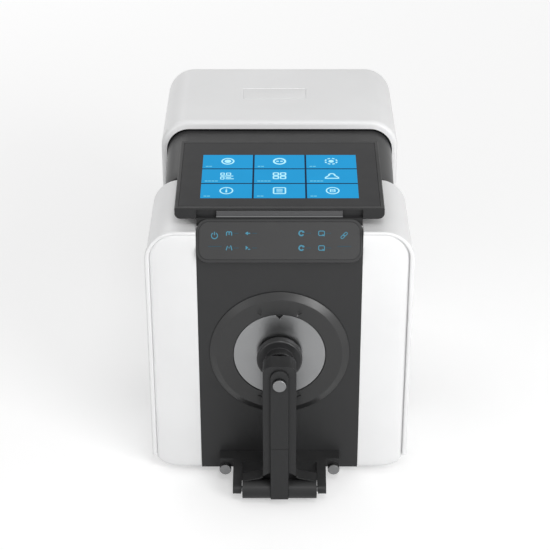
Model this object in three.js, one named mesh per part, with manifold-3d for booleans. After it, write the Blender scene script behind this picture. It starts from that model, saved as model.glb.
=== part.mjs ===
// A benchtop spectrophotometer, in millimetres, +Z up, +X to its right, front towards -Y.
// Inside this file y = 0 is the front face of the dark centre column and z = 0 the bench.
// The group is shifted along y at the end, so that the origin is below the middle of the whole.

import * as THREE from "three";
import { mergeVertices } from "three/addons/utils/BufferGeometryUtils.js";
import Module from "manifold-3d";

const wasm = await Module();
wasm.setup();

// Fits, and how far a cut runs past the face that it opens
const gap = 0.3;
const overrun = 6;

// Facets of round shapes
const arcSteps = 6;
const guardSteps = 4;
const roundSteps = 28;
const fineSteps = 40;
const smallSteps = 12;
const coilSteps = 10;
const wireSteps = 3;

// Feet and base tray
const footHeight = 8;
const footRadius = 12;
const footTaper = 1.5;
const footFrontY = 34;
const footRearInset = 40;
const footFrontInset = 42.3;
const footSideInset = 35.6;
const trayHeight = 13.7;
const trayCorner = 22;
const traySideInset = 1.4;
const trayWall = 3;
const trayRearInset = 4;

// Chassis plate, which the whole instrument is built up on
const chassisThickness = 3;
const chassisSideGap = 2.8;
const standoffRadius = 3;
const standoffHeight = 7.7;
const standoffInset = 6;

// Front shell: the white arch round the measuring head, with a flared lip at its front
const frontShellDepth = 120;
const frontShellHalf = 130.3;
const frontShellTop = 281.1;
const frontShellCorner = 30;
const frontShellWall = 3;
const lipFlare = 1.1;
const lipDepth = 6;
const lipSide = 4.6;
const lipTop = 3.6;
const lipRound = 1.2;

// Front cheeks, white, left and right of the column
const cheekThickness = 4;
const cheekSweep = 2.6;
const cheekLowerCorner = 24;

// Centre column
const columnHalf = 80.6;
const columnThickness = 4;
const columnReturn = 16;

// Port ring and aperture plate
const portDrop = 134.1;
const ringRadius = 69.8;
const ringFaceRadius = 62.6;
const ringRaise = 5;
const ringFloor = 3.9;
const ringSpigotDepth = 3;
const plateRadius = 45.8;
const plateThickness = 3;
const portRadius = 12.7;
const portTubeWall = 4;
const portTubeRadius = 14;
const portTubeLength = 8.6;
const notchWidth = 14;
const notchDepth = 4;
const markRadius = 50.9;
const markAngle = 22;
const markSize = 1.8;
const markDepth = 1;

// Visor with the key panel
const visorTopY = 13.3;
const visorTopRise = 7.85;
const visorFrontY = -8.5;
const visorFrontDrop = 28.15;
const visorLip = 3.5;
const visorCorner = 12;
const keyPanelMargin = 2.8;
const keyPanelThickness = 1.1;

// Display
const displayFrontY = 11.4;
const displayRise = 20.45;
const displayTilt = 4.42;
const displayLength = 134.9;
const displayHalf = 101.3;
const displayThickness = 12;
const displayLowerCorner = 6;
const displayUpperCorner = 1.5;
const glassMargin = 4;
const glassThickness = 1.2;
const lcdHalf = 82;
const lcdFront = 14;
const lcdLength = 98;
const lcdThickness = 4.5;
const barHalf = 61;
const barHeight = 6.5;
const barDepth = 3;
const barSlotHeight = 9.4;
const barSlotDepth = 4.2;
const barSlotRise = 0.6;

// Sliding hood of the transmission compartment
const compartmentLength = 65.3;
const hoodSideGap = 0.6;
const hoodTopGap = 2.8;
const hoodCorner = 24;
const hoodWall = 3;
const hoodTuck = 7;
const hoodFrontGap = 1;
const hoodFrontDrop = 20.9;

// Rear shell with its lip and nameplate recess
const rearShellDepth = 162.7;
const rearStepIn = 5.3;
const rearRise = 36.2;
const rearShellCorner = 30;
const rearLipSide = 6;
const rearLipTop = 8.6;
const rearLipDepth = 8;
const rearWallSide = 3.5;
const rearWallTop = 4.8;
const rearWallBack = 7;
const rearRound = 18;
const nameplateX = -5.2;
const nameplateHalf = 34.4;
const nameplateSetback = 76.1;
const nameplateLength = 30.7;
const nameplateDepth = 0.8;

// Rear panel and what is fitted in it
const rearWindowInset = 31;
const rearWindowSill = 10;
const rearWindowHead = 47.3;
const rearWindowCorner = 8;
const panelOverlap = 5;
const panelThickness = 2;
const ventSlots = 9;
const ventFanGap = 32;
const ventSideInset = 12;
const ventHeight = 3;
const ventRib = 5;
const ventBottom = 150;
const socketRowZ = 62;
const inletSideInset = 32;
const inletHalf = 13.5;
const inletHeight = 20;
const inletDepth = 20;
const inletFlange = 4;
const inletFlangeThickness = 2.5;
const inletMouthHalf = 11.5;
const inletMouthHeight = 15.5;
const inletMouthDepth = 16;
const bladeHalf = 1;
const bladeHeight = 4;
const bladeLength = 11;
const bladePitch = 7;
const switchZ = 100;
const switchHalf = 9.4;
const switchHeight = 26;
const switchDepth = 14;
const switchFlange = 2;
const rockerHalf = 7.4;
const rockerHeight = 21;
const rockerDepth = 6;
const rockerGap = 0.6;
const rockerAxleRadius = 1.6;
const rockerTilt = 8;
const rockerStand = 1.6;
const rockerFootShare = 0.7;
const usbX = 10;
const usbHalf = 6;
const usbHeight = 11;
const usbDepth = 15;
const usbWall = 1;
const usbProud = 2;
const serialSideInset = 33.5;
const serialHalf = 15.5;
const serialHeight = 12.5;
const serialPlate = 1.2;
const serialShellHalf = 9.2;
const serialShellHeight = 9;
const serialShellDepth = 12;
const serialWall = 1;
const serialProud = 2.2;

// Cooling fan
const fanSideInset = 4;
const fanTopInset = 30;
const fanHalf = 40;
const fanCorner = 5;
const fanDepth = 25;
const fanBore = 37.6;
const fanHubRadius = 15;
const fanHubDepth = 17;
const fanBlades = 7;
const fanBladeLength = 36;
const fanBladeWidth = 17;
const fanBladeThickness = 1.8;
const fanBladeAngle = 38;
const fanStrutHalf = 2;
const fanStrutDepth = 3;
const fanMotorRadius = 13;
const fanAxleRadius = 2;
const guardRadius = 38.5;
const guardThickness = 1.4;
const guardRings = 3;
const guardWireWidth = 2.2;
const guardHubRadius = 6;

// Bulkheads, compartment floor and sample holder
const bulkheadThickness = 4;
const bulkheadSetback = 2;
const rearBulkheadSetback = 10.7;
const bulkheadSideGap = 4.4;
const bulkheadTopGap = 2;
const windowRadius = 14;
const windowThickness = 2.6;
const floorHeight = 42;
const floorThickness = 3;
const floorSideGap = 5.4;
const holderHalf = 28;
const holderBaseHeight = 8;
const holderBaseDepth = 34;
const holderPlateDepth = 6;
const holderRise = 32.3;
const holderHoleEase = 1;
const holderSetback = 32;

// Integrating sphere and lamp
const sphereWall = 4;
const sphereFrontGap = 1;
const sphereRearGap = 5;
const sphereFlange = 5;
const sphereFlangeHalf = 3;
const standHalf = 30;
const standDepth = 14;
const standSaddle = 9.3;
const lampHalf = 22;
const lampDepth = 34;
const lampHeight = 30;
const lampStemRadius = 10;
const lampStemLength = 6;
const lampTongueHalf = 15;
const lampTongueThickness = 3;

// Measuring optics behind the compartment
const barrelRadius = 15;
const barrelBore = 9;
const barrelNose = 6;
const barrelFlange = 20;
const barrelFlangeThickness = 4;
const lensThickness = 4;
const lensSetback = 2;
const boxOverhang = 5;
const boxFanGap = 16.8;
const boxHeight = 62;
const boxWall = 5;
const boxLid = 3.5;
const benchSideGap = 7;
const benchThickness = 3;
const benchInset = 6;
const gratingHalf = 16;
const gratingHeight = 32;
const gratingDepth = 8;
const detectorHalf = 17;
const detectorHeight = 26;
const detectorThickness = 2;
const detectorSideGap = 5;

// Electronics
const boardSideGap = 3;
const boardThickness = 1.6;
const boardFrontInset = 8;
const boardRearGap = 10.7;
const chipHalf = 12;
const chipHeight = 2.2;
const supplySideInset = 11.7;
const supplyWidth = 50;
const supplyHeight = 38;
const supplyInletGap = 6.7;
const supplyFrontInset = 14;

// Clamp: base with ears, hinge, arm and press head
const clampHalf = 61.5;
const clampTop = 28.2;
const clampBlockHalf = 47.2;
const clampBlockDepth = 19.7;
const clampBottom = 5;
const clampWingDepth = 14.1;
const clampWingHeight = 10;
const clampLugRadius = 5.6;
const earInner = 38;
const earOuter = 47.2;
const earTaper = 1.8;
const earRadius = 5;
const hingeY = -49.7;
const hingeZ = 15.9;
const hingePinRadius = 3;
const hingeBarrelRadius = 9.6;
const hingeBarrelHalf = 37.5;
const springPocketRadius = 7.4;
const springPocketDepth = 22;
const springRadius = 5.2;
const springWire = 0.8;
const springTurns = 7;
const springPitch = 2.8;
const saddleRise = 7.3;
const saddleFrontY = -51;
const saddleHollowY = -43;
const saddleShares = [
  [1, 0.13],
  [0.91, 0.24],
  [0.72, 0.45],
  [0.56, 0.6],
  [0.47, 0.78],
  [0.43, 1],
];
const hollowShares = [
  [0.85, 0.11],
  [0.72, 0.27],
  [0.56, 0.42],
  [0.47, 0.62],
  [0.447, 0.75],
  [0.447, 1.48],
  [0.336, 1.9],
  [0.245, 2.12],
];
const armHalf = 16.4;
const armFrontY = -57.2;
const armBackY = -37;
const armHeadRise = 18.3;
const armCorner = 8.4;
const armNeckRadius = 11.6;
const armNeckLength = 10.4;
const coverHalf = 8.9;
const coverBottom = 10;
const coverRise = 14.6;
const coverThickness = 4.2;
const coverProud = 2.8;
const spindleRadius = 6.6;
const spindleFrontY = -64;
const spindleStep = 4;
const spindleStepRadius = 4;
const cupRadius = 22.7;
const cupFrontY = -26;
const cupBackY = -7;
const cupFlange = 9;
const cupSleeveRadius = 14.6;
const cupFloor = 4.5;
const cupPocketRadius = 12.6;
const cupRound = 1.4;
const pressSpringRadius = 9.6;
const pressSpringWire = 0.7;
const pressSpringTurns = 3;
const padRadius = 20;
const padThickness = 1.7;
const padRound = 0.8;
const thumbscrewX = 55.6;
const thumbscrewZ = 17;
const thumbscrewRadius = 6;
const thumbscrewLength = 4;
const thumbscrewShank = 3;
const thumbscrewReach = 9;
const thumbscrewFlats = 16;
const thumbscrewGroove = 0.4;

// Levels and planes that several pieces share
const lipOuterTop = frontShellTop + lipFlare / 2;
const portHeight = frontShellTop - portDrop;
const visorTopZ = lipOuterTop + visorTopRise;
const visorFrontZ = lipOuterTop - visorFrontDrop;
const displayFrontZ = lipOuterTop + displayRise;
const rearShellTop = frontShellTop + rearRise;
const rearShellHalf = frontShellHalf - rearStepIn;
const trayHalf = rearShellHalf - traySideInset;
const chassisHalf = rearShellHalf - rearWallSide - chassisSideGap;
const hoodHalf = rearShellHalf - rearLipSide - hoodSideGap;
const hoodTop = rearShellTop - rearLipTop - hoodTopGap;
const trayTop = footHeight + trayHeight;
const shellBottom = trayTop + gap;
const chassisBottom = trayTop + gap;
const chassisTop = chassisBottom + chassisThickness;
const rearShellFront = frontShellDepth + compartmentLength;
const bodyBack = rearShellFront + rearShellDepth;
const panelFront = bodyBack - rearWallBack - gap - panelThickness;
const panelBack = panelFront + panelThickness;
const frontBulkheadBack = frontShellDepth - bulkheadSetback;
const frontBulkheadFront = frontBulkheadBack - bulkheadThickness;
const rearBulkheadFront = rearShellFront + rearBulkheadSetback;
const rearBulkheadBack = rearBulkheadFront + bulkheadThickness;
const rearWindowHalf = rearShellHalf - rearWindowInset;
const rearWindowBottom = shellBottom + rearWindowSill;
const rearWindowTop = rearShellTop - rearWindowHead;
const inletX = rearWindowHalf - inletSideInset;
const serialX = serialHalf + serialSideInset - rearWindowHalf;
const fanX = fanHalf + fanSideInset - rearWindowHalf;
const fanZ = rearWindowTop - fanHalf - fanTopInset;
const ventInnerX = fanX + fanHalf + ventFanGap;
const ventOuterX = rearWindowHalf - ventSideInset;
const sphereRoom = frontBulkheadFront - sphereRearGap - columnThickness - sphereFrontGap;
const sphereOuter = sphereRoom / 2;
const sphereInner = sphereOuter - sphereWall;
const sphereY = columnThickness + sphereFrontGap + sphereOuter;
const supplyInnerX = chassisHalf - supplySideInset - supplyWidth;
const benchHalf = supplyInnerX - benchSideGap;
const boxHalf = benchHalf + boxOverhang;
const boardHalf = benchHalf - benchThickness - boardSideGap;
const visorBottom = visorFrontZ - visorLip;
const wholeMiddleY = (spindleFrontY + bodyBack) / 2;

const quarter = Math.PI / 2;
const radians = THREE.MathUtils.degToRad;

// Boolean work on closed geometries
function solidOf(geometry) {
  const bare = geometry.clone();
  bare.deleteAttribute("normal");
  bare.deleteAttribute("uv");
  const merged = mergeVertices(bare);
  return new wasm.Manifold(
    new wasm.Mesh({
      numProp: 3,
      vertProperties: merged.attributes.position.array,
      triVerts: new Uint32Array(merged.index.array),
    }),
  );
}

function geometryOf(solid) {
  const mesh = solid.getMesh();
  const geometry = new THREE.BufferGeometry();
  geometry.setAttribute("position", new THREE.BufferAttribute(mesh.vertProperties, mesh.numProp));
  geometry.setIndex(new THREE.BufferAttribute(mesh.triVerts, 1));
  geometry.computeVertexNormals();
  return geometry;
}

function join(...pieces) {
  return geometryOf(pieces.map(solidOf).reduce((sum, piece) => sum.add(piece)));
}

function cut(base, ...tools) {
  return geometryOf(tools.map(solidOf).reduce((rest, tool) => rest.subtract(tool), solidOf(base)));
}

function common(first, second) {
  return geometryOf(solidOf(first).intersect(solidOf(second)));
}

// A block between two corners
function block(x0, x1, y0, y1, z0, z1) {
  const box = new THREE.BoxGeometry(x1 - x0, y1 - y0, z1 - z0);
  return box.translate((x0 + x1) / 2, (y0 + y1) / 2, (z0 + z1) / 2);
}

// Round rods along each axis, from one end to the other, centred on the two other coordinates
function rodX(radius, x0, x1, y, z, steps = roundSteps) {
  const rod = new THREE.CylinderGeometry(radius, radius, x1 - x0, steps);
  return rod.rotateZ(-quarter).translate((x0 + x1) / 2, y, z);
}

function rodY(radius, y0, y1, x, z, steps = roundSteps) {
  return new THREE.CylinderGeometry(radius, radius, y1 - y0, steps).translate(x, (y0 + y1) / 2, z);
}

function rodZ(radius, z0, z1, x, y, steps = roundSteps) {
  const rod = new THREE.CylinderGeometry(radius, radius, z1 - z0, steps);
  return rod.rotateX(quarter).translate(x, y, (z0 + z1) / 2);
}

// Outlines drawn as (x, z) and carried along y, or drawn as (y, z) and carried along x
function extrudeY(shape, y0, y1, bevel = 0, segments = arcSteps) {
  const options = { depth: y1 - y0 - 2 * bevel, curveSegments: segments, bevelEnabled: bevel > 0 };
  options.bevelThickness = bevel;
  options.bevelSize = bevel;
  options.bevelOffset = -bevel;
  options.bevelSegments = 3;
  return new THREE.ExtrudeGeometry(shape, options).rotateX(quarter).translate(0, y1 - bevel, 0);
}

function extrudeX(shape, x0, x1) {
  const options = { depth: x1 - x0, curveSegments: arcSteps, bevelEnabled: false };
  const turn = new THREE.Matrix4().makeBasis(
    new THREE.Vector3(0, 1, 0),
    new THREE.Vector3(0, 0, 1),
    new THREE.Vector3(1, 0, 0),
  );
  return new THREE.ExtrudeGeometry(shape, options).applyMatrix4(turn).translate(x0, 0, 0);
}

function extrudeZ(shape, z0, z1) {
  const options = { depth: z1 - z0, curveSegments: arcSteps, bevelEnabled: false };
  return new THREE.ExtrudeGeometry(shape, options).translate(0, 0, z0);
}

function polygon(points) {
  return new THREE.Shape(points.map(([u, v]) => new THREE.Vector2(u, v)));
}

// Straight sides, a flat top and round shoulders
function arch(half, bottom, top, corner) {
  const shape = new THREE.Shape();
  shape.moveTo(-half, bottom);
  shape.lineTo(half, bottom);
  shape.lineTo(half, top - corner);
  shape.absarc(half - corner, top - corner, corner, 0, quarter);
  shape.lineTo(corner - half, top);
  shape.absarc(corner - half, top - corner, corner, quarter, 2 * quarter);
  shape.closePath();
  return shape;
}

// A rectangle whose lower and upper corners are round
function roundedRectangle(half, bottom, top, lower, upper = lower) {
  const shape = new THREE.Shape();
  shape.moveTo(lower - half, bottom);
  shape.lineTo(half - lower, bottom);
  shape.absarc(half - lower, bottom + lower, lower, -quarter, 0);
  shape.lineTo(half, top - upper);
  shape.absarc(half - upper, top - upper, upper, 0, quarter);
  shape.lineTo(upper - half, top);
  shape.absarc(upper - half, top - upper, upper, quarter, 2 * quarter);
  shape.lineTo(-half, bottom + lower);
  shape.absarc(lower - half, bottom + lower, lower, 2 * quarter, 3 * quarter);
  shape.closePath();
  return shape;
}

// Solids of revolution about an axis along y, from (radius, y) points, which start and end
// on the axis or close on themselves
function turned(profile, steps = roundSteps, z = 0) {
  const loop = profile.map(([r, y]) => new THREE.Vector2(r, y));
  if (THREE.ShapeUtils.isClockWise(loop)) loop.reverse();
  if (loop[0].x > 0) loop.push(loop[0]);
  return new THREE.LatheGeometry(loop, steps).translate(0, 0, z);
}

// The assembly, and how a piece is added to it
const instrument = new THREE.Group();
instrument.position.y = -wholeMiddleY;

function add(name, geometry, color, roughness, metalness = 0) {
  const mesh = new THREE.Mesh(geometry, new THREE.MeshStandardMaterial({ color, roughness, metalness }));
  mesh.name = name;
  instrument.add(mesh);
  return mesh;
}

const white = 0xf2f3f4;
const charcoal = 0x434446;
const black = 0x222325;
const rubber = 0x2b2b2d;
const steel = 0xb4b7ba;
const aluminium = 0xa9acb0;
const satinGrey = 0x96989a;
const greenBoard = 0x1f5a3c;
const opticalWhite = 0xf6f6f2;
const clearGlass = 0xdfe9ee;

// Base tray: a shallow pan with round lower edges, wider under the front shell
function trayOutline(outerHalf, outerCorner, inset = 0) {
  const half = outerHalf - inset;
  const corner = outerCorner - inset;
  const bottom = footHeight + inset;
  const fall = Math.min(trayTop - bottom - corner, 0);
  const reach = Math.asin(fall / corner);
  const mouthHalf = half - corner + corner * Math.cos(reach);
  const mouthTop = inset ? trayTop + overrun : trayTop;
  const shape = new THREE.Shape();
  shape.moveTo(corner - half, bottom);
  shape.lineTo(half - corner, bottom);
  shape.absarc(half - corner, bottom + corner, corner, -quarter, reach);
  shape.lineTo(mouthHalf, mouthTop);
  shape.lineTo(-mouthHalf, mouthTop);
  shape.absarc(corner - half, bottom + corner, corner, 2 * quarter - reach, 3 * quarter);
  shape.closePath();
  return shape;
}

const trayFront = cheekThickness + cheekSweep + gap;
const trayBack = bodyBack - trayRearInset;
const tray = cut(
  join(
    extrudeY(trayOutline(trayHalf, trayCorner), trayFront, trayBack),
    extrudeY(trayOutline(frontShellHalf, cheekLowerCorner), trayFront, frontShellDepth),
  ),
  extrudeY(trayOutline(trayHalf, trayCorner, trayWall), trayFront + trayWall, trayBack - trayWall),
  extrudeY(
    trayOutline(frontShellHalf, cheekLowerCorner, trayWall),
    trayFront + trayWall,
    frontShellDepth - trayWall,
  ),
);
add("base_tray", tray, white, 0.4);

// Feet: tapered rubber pads under the tray
const footRearY = bodyBack - footRearInset;
const footFrontX = frontShellHalf - footFrontInset;
const footRearX = trayHalf - footSideInset;
const feet = {
  foot_front_left: [-footFrontX, footFrontY],
  foot_front_right: [footFrontX, footFrontY],
  foot_rear_left: [-footRearX, footRearY],
  foot_rear_right: [footRearX, footRearY],
};
for (const [name, [x, y]] of Object.entries(feet)) {
  const height = footHeight - gap;
  const pad = new THREE.CylinderGeometry(footRadius, footRadius - footTaper, height, roundSteps);
  add(name, pad.rotateX(quarter).translate(x, y, height / 2), rubber, 0.9);
}

// Chassis plate with four standoffs under the main board
const boardFront = rearBulkheadBack + boardFrontInset;
const boardBack = panelFront - boardRearGap;
const standoffX = boardHalf - standoffInset;
const standoffs = [-standoffX, standoffX].flatMap((x) =>
  [boardFront + standoffHeight, boardBack - standoffHeight].map((y) =>
    rodZ(standoffRadius, chassisBottom, chassisTop + standoffHeight, x, y, smallSteps),
  ),
);
const chassisSheet = block(
  -chassisHalf,
  chassisHalf,
  trayFront + trayWall,
  panelFront - gap,
  chassisBottom,
  chassisTop,
);
add("chassis_plate", join(chassisSheet, ...standoffs), aluminium, 0.45, 1);

// Front shell: arch with a flared, rounded lip, notched at the top for the visor
const lipOuterHalf = frontShellHalf + lipFlare;
const lipInnerHalf = lipOuterHalf - lipSide;
const lipInnerTop = lipOuterTop - lipTop;
const lipInnerCorner = frontShellCorner - lipSide + lipFlare;
const shellInnerHalf = frontShellHalf - frontShellWall;
const shellInnerTop = frontShellTop - frontShellWall;
const shellInnerCorner = frontShellCorner - frontShellWall;
const shellArch = arch(frontShellHalf, shellBottom, frontShellTop, frontShellCorner);
const lipArch = arch(lipOuterHalf, shellBottom, lipOuterTop, frontShellCorner + lipFlare);
const frontShell = cut(
  join(
    extrudeY(shellArch, lipDepth / 2, frontShellDepth),
    extrudeY(lipArch, 0, lipDepth, lipRound),
  ),
  extrudeY(arch(lipInnerHalf, 0, lipInnerTop, lipInnerCorner), -overrun, lipDepth + overrun),
  extrudeY(arch(shellInnerHalf, 0, shellInnerTop, shellInnerCorner), lipDepth, frontShellDepth + overrun),
  block(
    -columnHalf - gap,
    columnHalf + gap,
    -overrun,
    visorTopY + gap,
    visorBottom,
    lipOuterTop + overrun,
  ),
);
add("front_shell", frontShell, white, 0.3);

// Cheeks: panels swept back towards their outer edge, cut to the lip above and the floor line below
const cheekInnerX = columnHalf + gap;
const cheekOuterX = lipInnerHalf - gap;
const cheekTop = lipInnerTop - gap;
const cheekTopCorner = lipInnerCorner - gap;

function cheekPlan() {
  const shape = new THREE.Shape();
  const middleX = (cheekInnerX + cheekOuterX) / 2;
  shape.moveTo(cheekInnerX, 0);
  shape.quadraticCurveTo(middleX, 0, cheekOuterX, cheekSweep);
  shape.lineTo(cheekOuterX, cheekSweep + cheekThickness);
  shape.lineTo(cheekInnerX, cheekThickness);
  shape.closePath();
  return shape;
}

function cheekFace() {
  const lowerCentre = lipOuterHalf - cheekLowerCorner;
  const lowerZ = footHeight + cheekLowerCorner;
  const reach = Math.acos((cheekOuterX - lowerCentre) / cheekLowerCorner);
  const shape = new THREE.Shape();
  shape.moveTo(cheekInnerX - overrun, footHeight);
  shape.lineTo(lowerCentre, footHeight);
  shape.absarc(lowerCentre, lowerZ, cheekLowerCorner, -quarter, -reach);
  shape.lineTo(cheekOuterX, cheekTop - cheekTopCorner);
  shape.absarc(cheekOuterX - cheekTopCorner, cheekTop - cheekTopCorner, cheekTopCorner, 0, quarter);
  shape.lineTo(cheekInnerX - overrun, cheekTop);
  shape.closePath();
  return shape;
}

const cheek = common(
  extrudeZ(cheekPlan(), footHeight - overrun, cheekTop + overrun),
  extrudeY(cheekFace(), -overrun, cheekThickness + cheekSweep + overrun),
);
add("cheek_right", cheek, white, 0.3);
add("cheek_left", cheek, white, 0.3).scale.x = -1;

// Centre column: front plate with the port hole, and a return along each side
const columnTop = visorBottom - gap;
const ringSpigotRadius = plateRadius + gap;
const column = cut(
  join(
    block(-columnHalf, columnHalf, 0, columnThickness, footHeight, columnTop),
    block(-columnHalf, columnThickness - columnHalf, 0, columnReturn, chassisTop + gap, columnTop),
    block(columnHalf - columnThickness, columnHalf, 0, columnReturn, chassisTop + gap, columnTop),
  ),
  rodY(ringSpigotRadius + gap, -overrun, columnThickness + overrun, 0, portHeight, fineSteps),
);
add("front_column", column, charcoal, 0.45);

// Port ring: bevelled ring, the seat of the aperture plate, and the tube towards the sphere
const ringFrontY = -ringRaise;
const ringSeatY = ringFrontY + ringFloor;
const ringProfile = [
  [ringRadius, -gap],
  [ringFaceRadius, ringFrontY],
  [ringSpigotRadius, ringFrontY],
  [ringSpigotRadius, ringSeatY],
  [portTubeRadius, ringSeatY],
  [portTubeRadius, portTubeLength],
  [portTubeRadius + portTubeWall, portTubeLength],
  [portTubeRadius + portTubeWall, ringSpigotDepth],
  [ringSpigotRadius, ringSpigotDepth],
  [ringSpigotRadius, -gap],
];
const markTurn = radians(markAngle);
const markPlaces = [markTurn, -markTurn, 2 * quarter - markTurn, 2 * quarter + markTurn];
const marks = markPlaces.map((angle) =>
  rodY(
    markSize,
    ringFrontY - overrun,
    ringFrontY + markDepth,
    markRadius * Math.sin(angle),
    portHeight + markRadius * Math.cos(angle),
    smallSteps,
  ),
);
const ring = cut(turned(ringProfile, fineSteps, portHeight), ...marks);
add("port_ring", ring, charcoal, 0.35);

// Aperture plate with its measuring hole, and the V notch that is turned to a mark
const plateBackY = ringSeatY - gap;
const plateFrontY = plateBackY - plateThickness;
const notch = polygon([
  [-notchWidth / 2, portHeight + plateRadius + notchDepth],
  [0, portHeight + plateRadius - notchDepth],
  [notchWidth / 2, portHeight + plateRadius + notchDepth],
]);
const plate = cut(
  rodY(plateRadius, plateFrontY, plateBackY, 0, portHeight, fineSteps),
  rodY(portRadius, plateFrontY - overrun, plateBackY + overrun, 0, portHeight),
  extrudeY(notch, plateFrontY - overrun, plateBackY + overrun),
);
add("aperture_plate", plate, satinGrey, 0.35, 0.6);

// Visor: a wedge over the top of the column, its face rounded at the corners
const visorRun = visorTopY - visorFrontY;
const visorRise = visorTopZ - visorFrontZ;
const visorLength = Math.hypot(visorRun, visorRise);
const visorAngle = Math.atan2(visorRise, visorRun);
const visorWedge = extrudeX(
  polygon([
    [visorTopY, visorTopZ],
    [visorFrontY, visorFrontZ],
    [visorFrontY + visorLip, visorBottom],
    [visorTopY, visorBottom],
  ]),
  -columnHalf,
  columnHalf,
);

// A plate lying in the visor's face, from one depth to another below that face
function inVisorFace(shape, depth0, depth1) {
  const slab = extrudeZ(shape, -depth1, -depth0);
  return slab.rotateX(visorAngle).translate(0, visorFrontY, visorFrontZ);
}

const keyPanelHalf = columnHalf - keyPanelMargin;
const keyPanelCorner = visorCorner - keyPanelMargin;
const keyPanelShape = (grow) =>
  roundedRectangle(
    keyPanelHalf + grow,
    keyPanelMargin - grow,
    visorLength - keyPanelMargin + grow,
    keyPanelCorner + grow,
  );
const visor = cut(
  common(
    visorWedge,
    inVisorFace(roundedRectangle(columnHalf, 0, visorLength, visorCorner), -overrun, visorLength),
  ),
  inVisorFace(keyPanelShape(gap), -overrun, keyPanelThickness),
);
add("visor", visor, charcoal, 0.4);
add("key_panel", inVisorFace(keyPanelShape(0), 0, keyPanelThickness - gap), charcoal, 0.25);

// Display: housing, front bar, screen module and cover glass, in the tilted frame of the display
const display = new THREE.Group();
display.position.set(0, displayFrontY, displayFrontZ);
display.rotation.x = radians(displayTilt);
instrument.add(display);

function addToDisplay(name, geometry, color, roughness) {
  display.add(add(name, geometry, color, roughness));
}

const glassHalf = displayHalf - glassMargin;
const barTopZ = barSlotRise - displayThickness + barSlotHeight;
const housing = cut(
  extrudeY(
    roundedRectangle(displayHalf, -displayThickness, 0, displayLowerCorner, displayUpperCorner),
    0,
    displayLength,
  ),
  block(
    -glassHalf - gap,
    glassHalf + gap,
    glassMargin - gap,
    displayLength - glassMargin + gap,
    -glassThickness - gap,
    overrun,
  ),
  block(
    -lcdHalf - gap,
    lcdHalf + gap,
    lcdFront - gap,
    lcdFront + lcdLength + gap,
    -glassThickness - lcdThickness - 2 * gap,
    overrun,
  ),
  block(-columnHalf, columnHalf, -overrun, barSlotDepth, barSlotRise - displayThickness, barTopZ),
);
addToDisplay("display_housing", housing, charcoal, 0.45);
const glass = block(
  -glassHalf,
  glassHalf,
  glassMargin,
  displayLength - glassMargin,
  -glassThickness,
  0,
);
addToDisplay("display_glass", glass, black, 0.1);
const lcdTop = -glassThickness - gap;
const lcd = block(-lcdHalf, lcdHalf, lcdFront, lcdFront + lcdLength, lcdTop - lcdThickness, lcdTop);
addToDisplay("lcd_module", lcd, black, 0.5);
const barMiddleZ = (barTopZ + barSlotRise - displayThickness) / 2;
const bar = block(
  -barHalf,
  barHalf,
  barSlotDepth - gap - barDepth,
  barSlotDepth - gap,
  barMiddleZ - barHeight / 2,
  barMiddleZ + barHeight / 2,
);
addToDisplay("status_bar", bar, 0x6a6b6d, 0.5);

// Riser between the front shell and the underside of the display
const underside = (y) => {
  const tilt = radians(displayTilt);
  const cornerY = displayFrontY + displayThickness * Math.sin(tilt);
  const cornerZ = displayFrontZ - displayThickness * Math.cos(tilt);
  return cornerZ + (y - cornerY) * Math.tan(tilt);
};
const riserFront = visorTopY + gap;
const riserBack = frontShellDepth - gap;
const riser = extrudeX(
  polygon([
    [riserFront, lipOuterTop + gap],
    [riserBack, lipOuterTop + gap],
    [riserBack, underside(riserBack) - gap],
    [riserFront, underside(riserFront) - gap],
  ]),
  -columnHalf,
  columnHalf,
);
add("display_riser", riser, charcoal, 0.5);

// Sliding hood: an arch whose top falls towards the front, under the display, and which is level
// where it is tucked into the rear shell
const hoodFront = frontShellDepth + hoodFrontGap;
const hoodBack = rearShellFront + hoodTuck;
const hoodBottom = chassisTop + gap;
const hoodFall = hoodFrontDrop / (rearShellFront - hoodFront);

// An outline drawn as (x, z) and carried through levels of (y, drop), lowered by each drop
function lowered(shape, levels) {
  const outline = shape.getPoints(arcSteps);
  if (outline[0].equals(outline[outline.length - 1])) outline.pop();
  const count = outline.length;
  const points = levels.flatMap(([y, drop]) => outline.flatMap((p) => [p.x, y, p.y - drop]));
  const faces = [];
  for (let start = 0; start < count * (levels.length - 1); start += count) {
    for (let i = 0; i < count; i += 1) {
      const here = start + i;
      const next = start + ((i + 1) % count);
      faces.push(here, next + count, next, here, here + count, next + count);
    }
  }
  const back = count * (levels.length - 1);
  for (const [a, b, c] of THREE.ShapeUtils.triangulateShape(outline, [])) {
    faces.push(a, b, c, back + a, back + c, back + b);
  }
  const geometry = new THREE.BufferGeometry();
  geometry.setAttribute("position", new THREE.Float32BufferAttribute(points, 3));
  geometry.setIndex(faces);
  return geometry;
}
const hoodOuter = arch(hoodHalf, 0, hoodTop, hoodCorner);
const hoodInner = arch(hoodHalf - hoodWall, -overrun, hoodTop - hoodWall, hoodCorner - hoodWall);
const hood = cut(
  lowered(hoodOuter, [
    [hoodFront, hoodFrontDrop],
    [rearShellFront, 0],
    [hoodBack, 0],
  ]),
  lowered(hoodInner, [
    [hoodFront - overrun, hoodFrontDrop + overrun * hoodFall],
    [rearShellFront, 0],
    [hoodBack + overrun, 0],
  ]),
  block(-hoodHalf - overrun, hoodHalf + overrun, 0, bodyBack, -2 * hoodFrontDrop, hoodBottom),
);
add("hood", hood, charcoal, 0.45);

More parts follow.
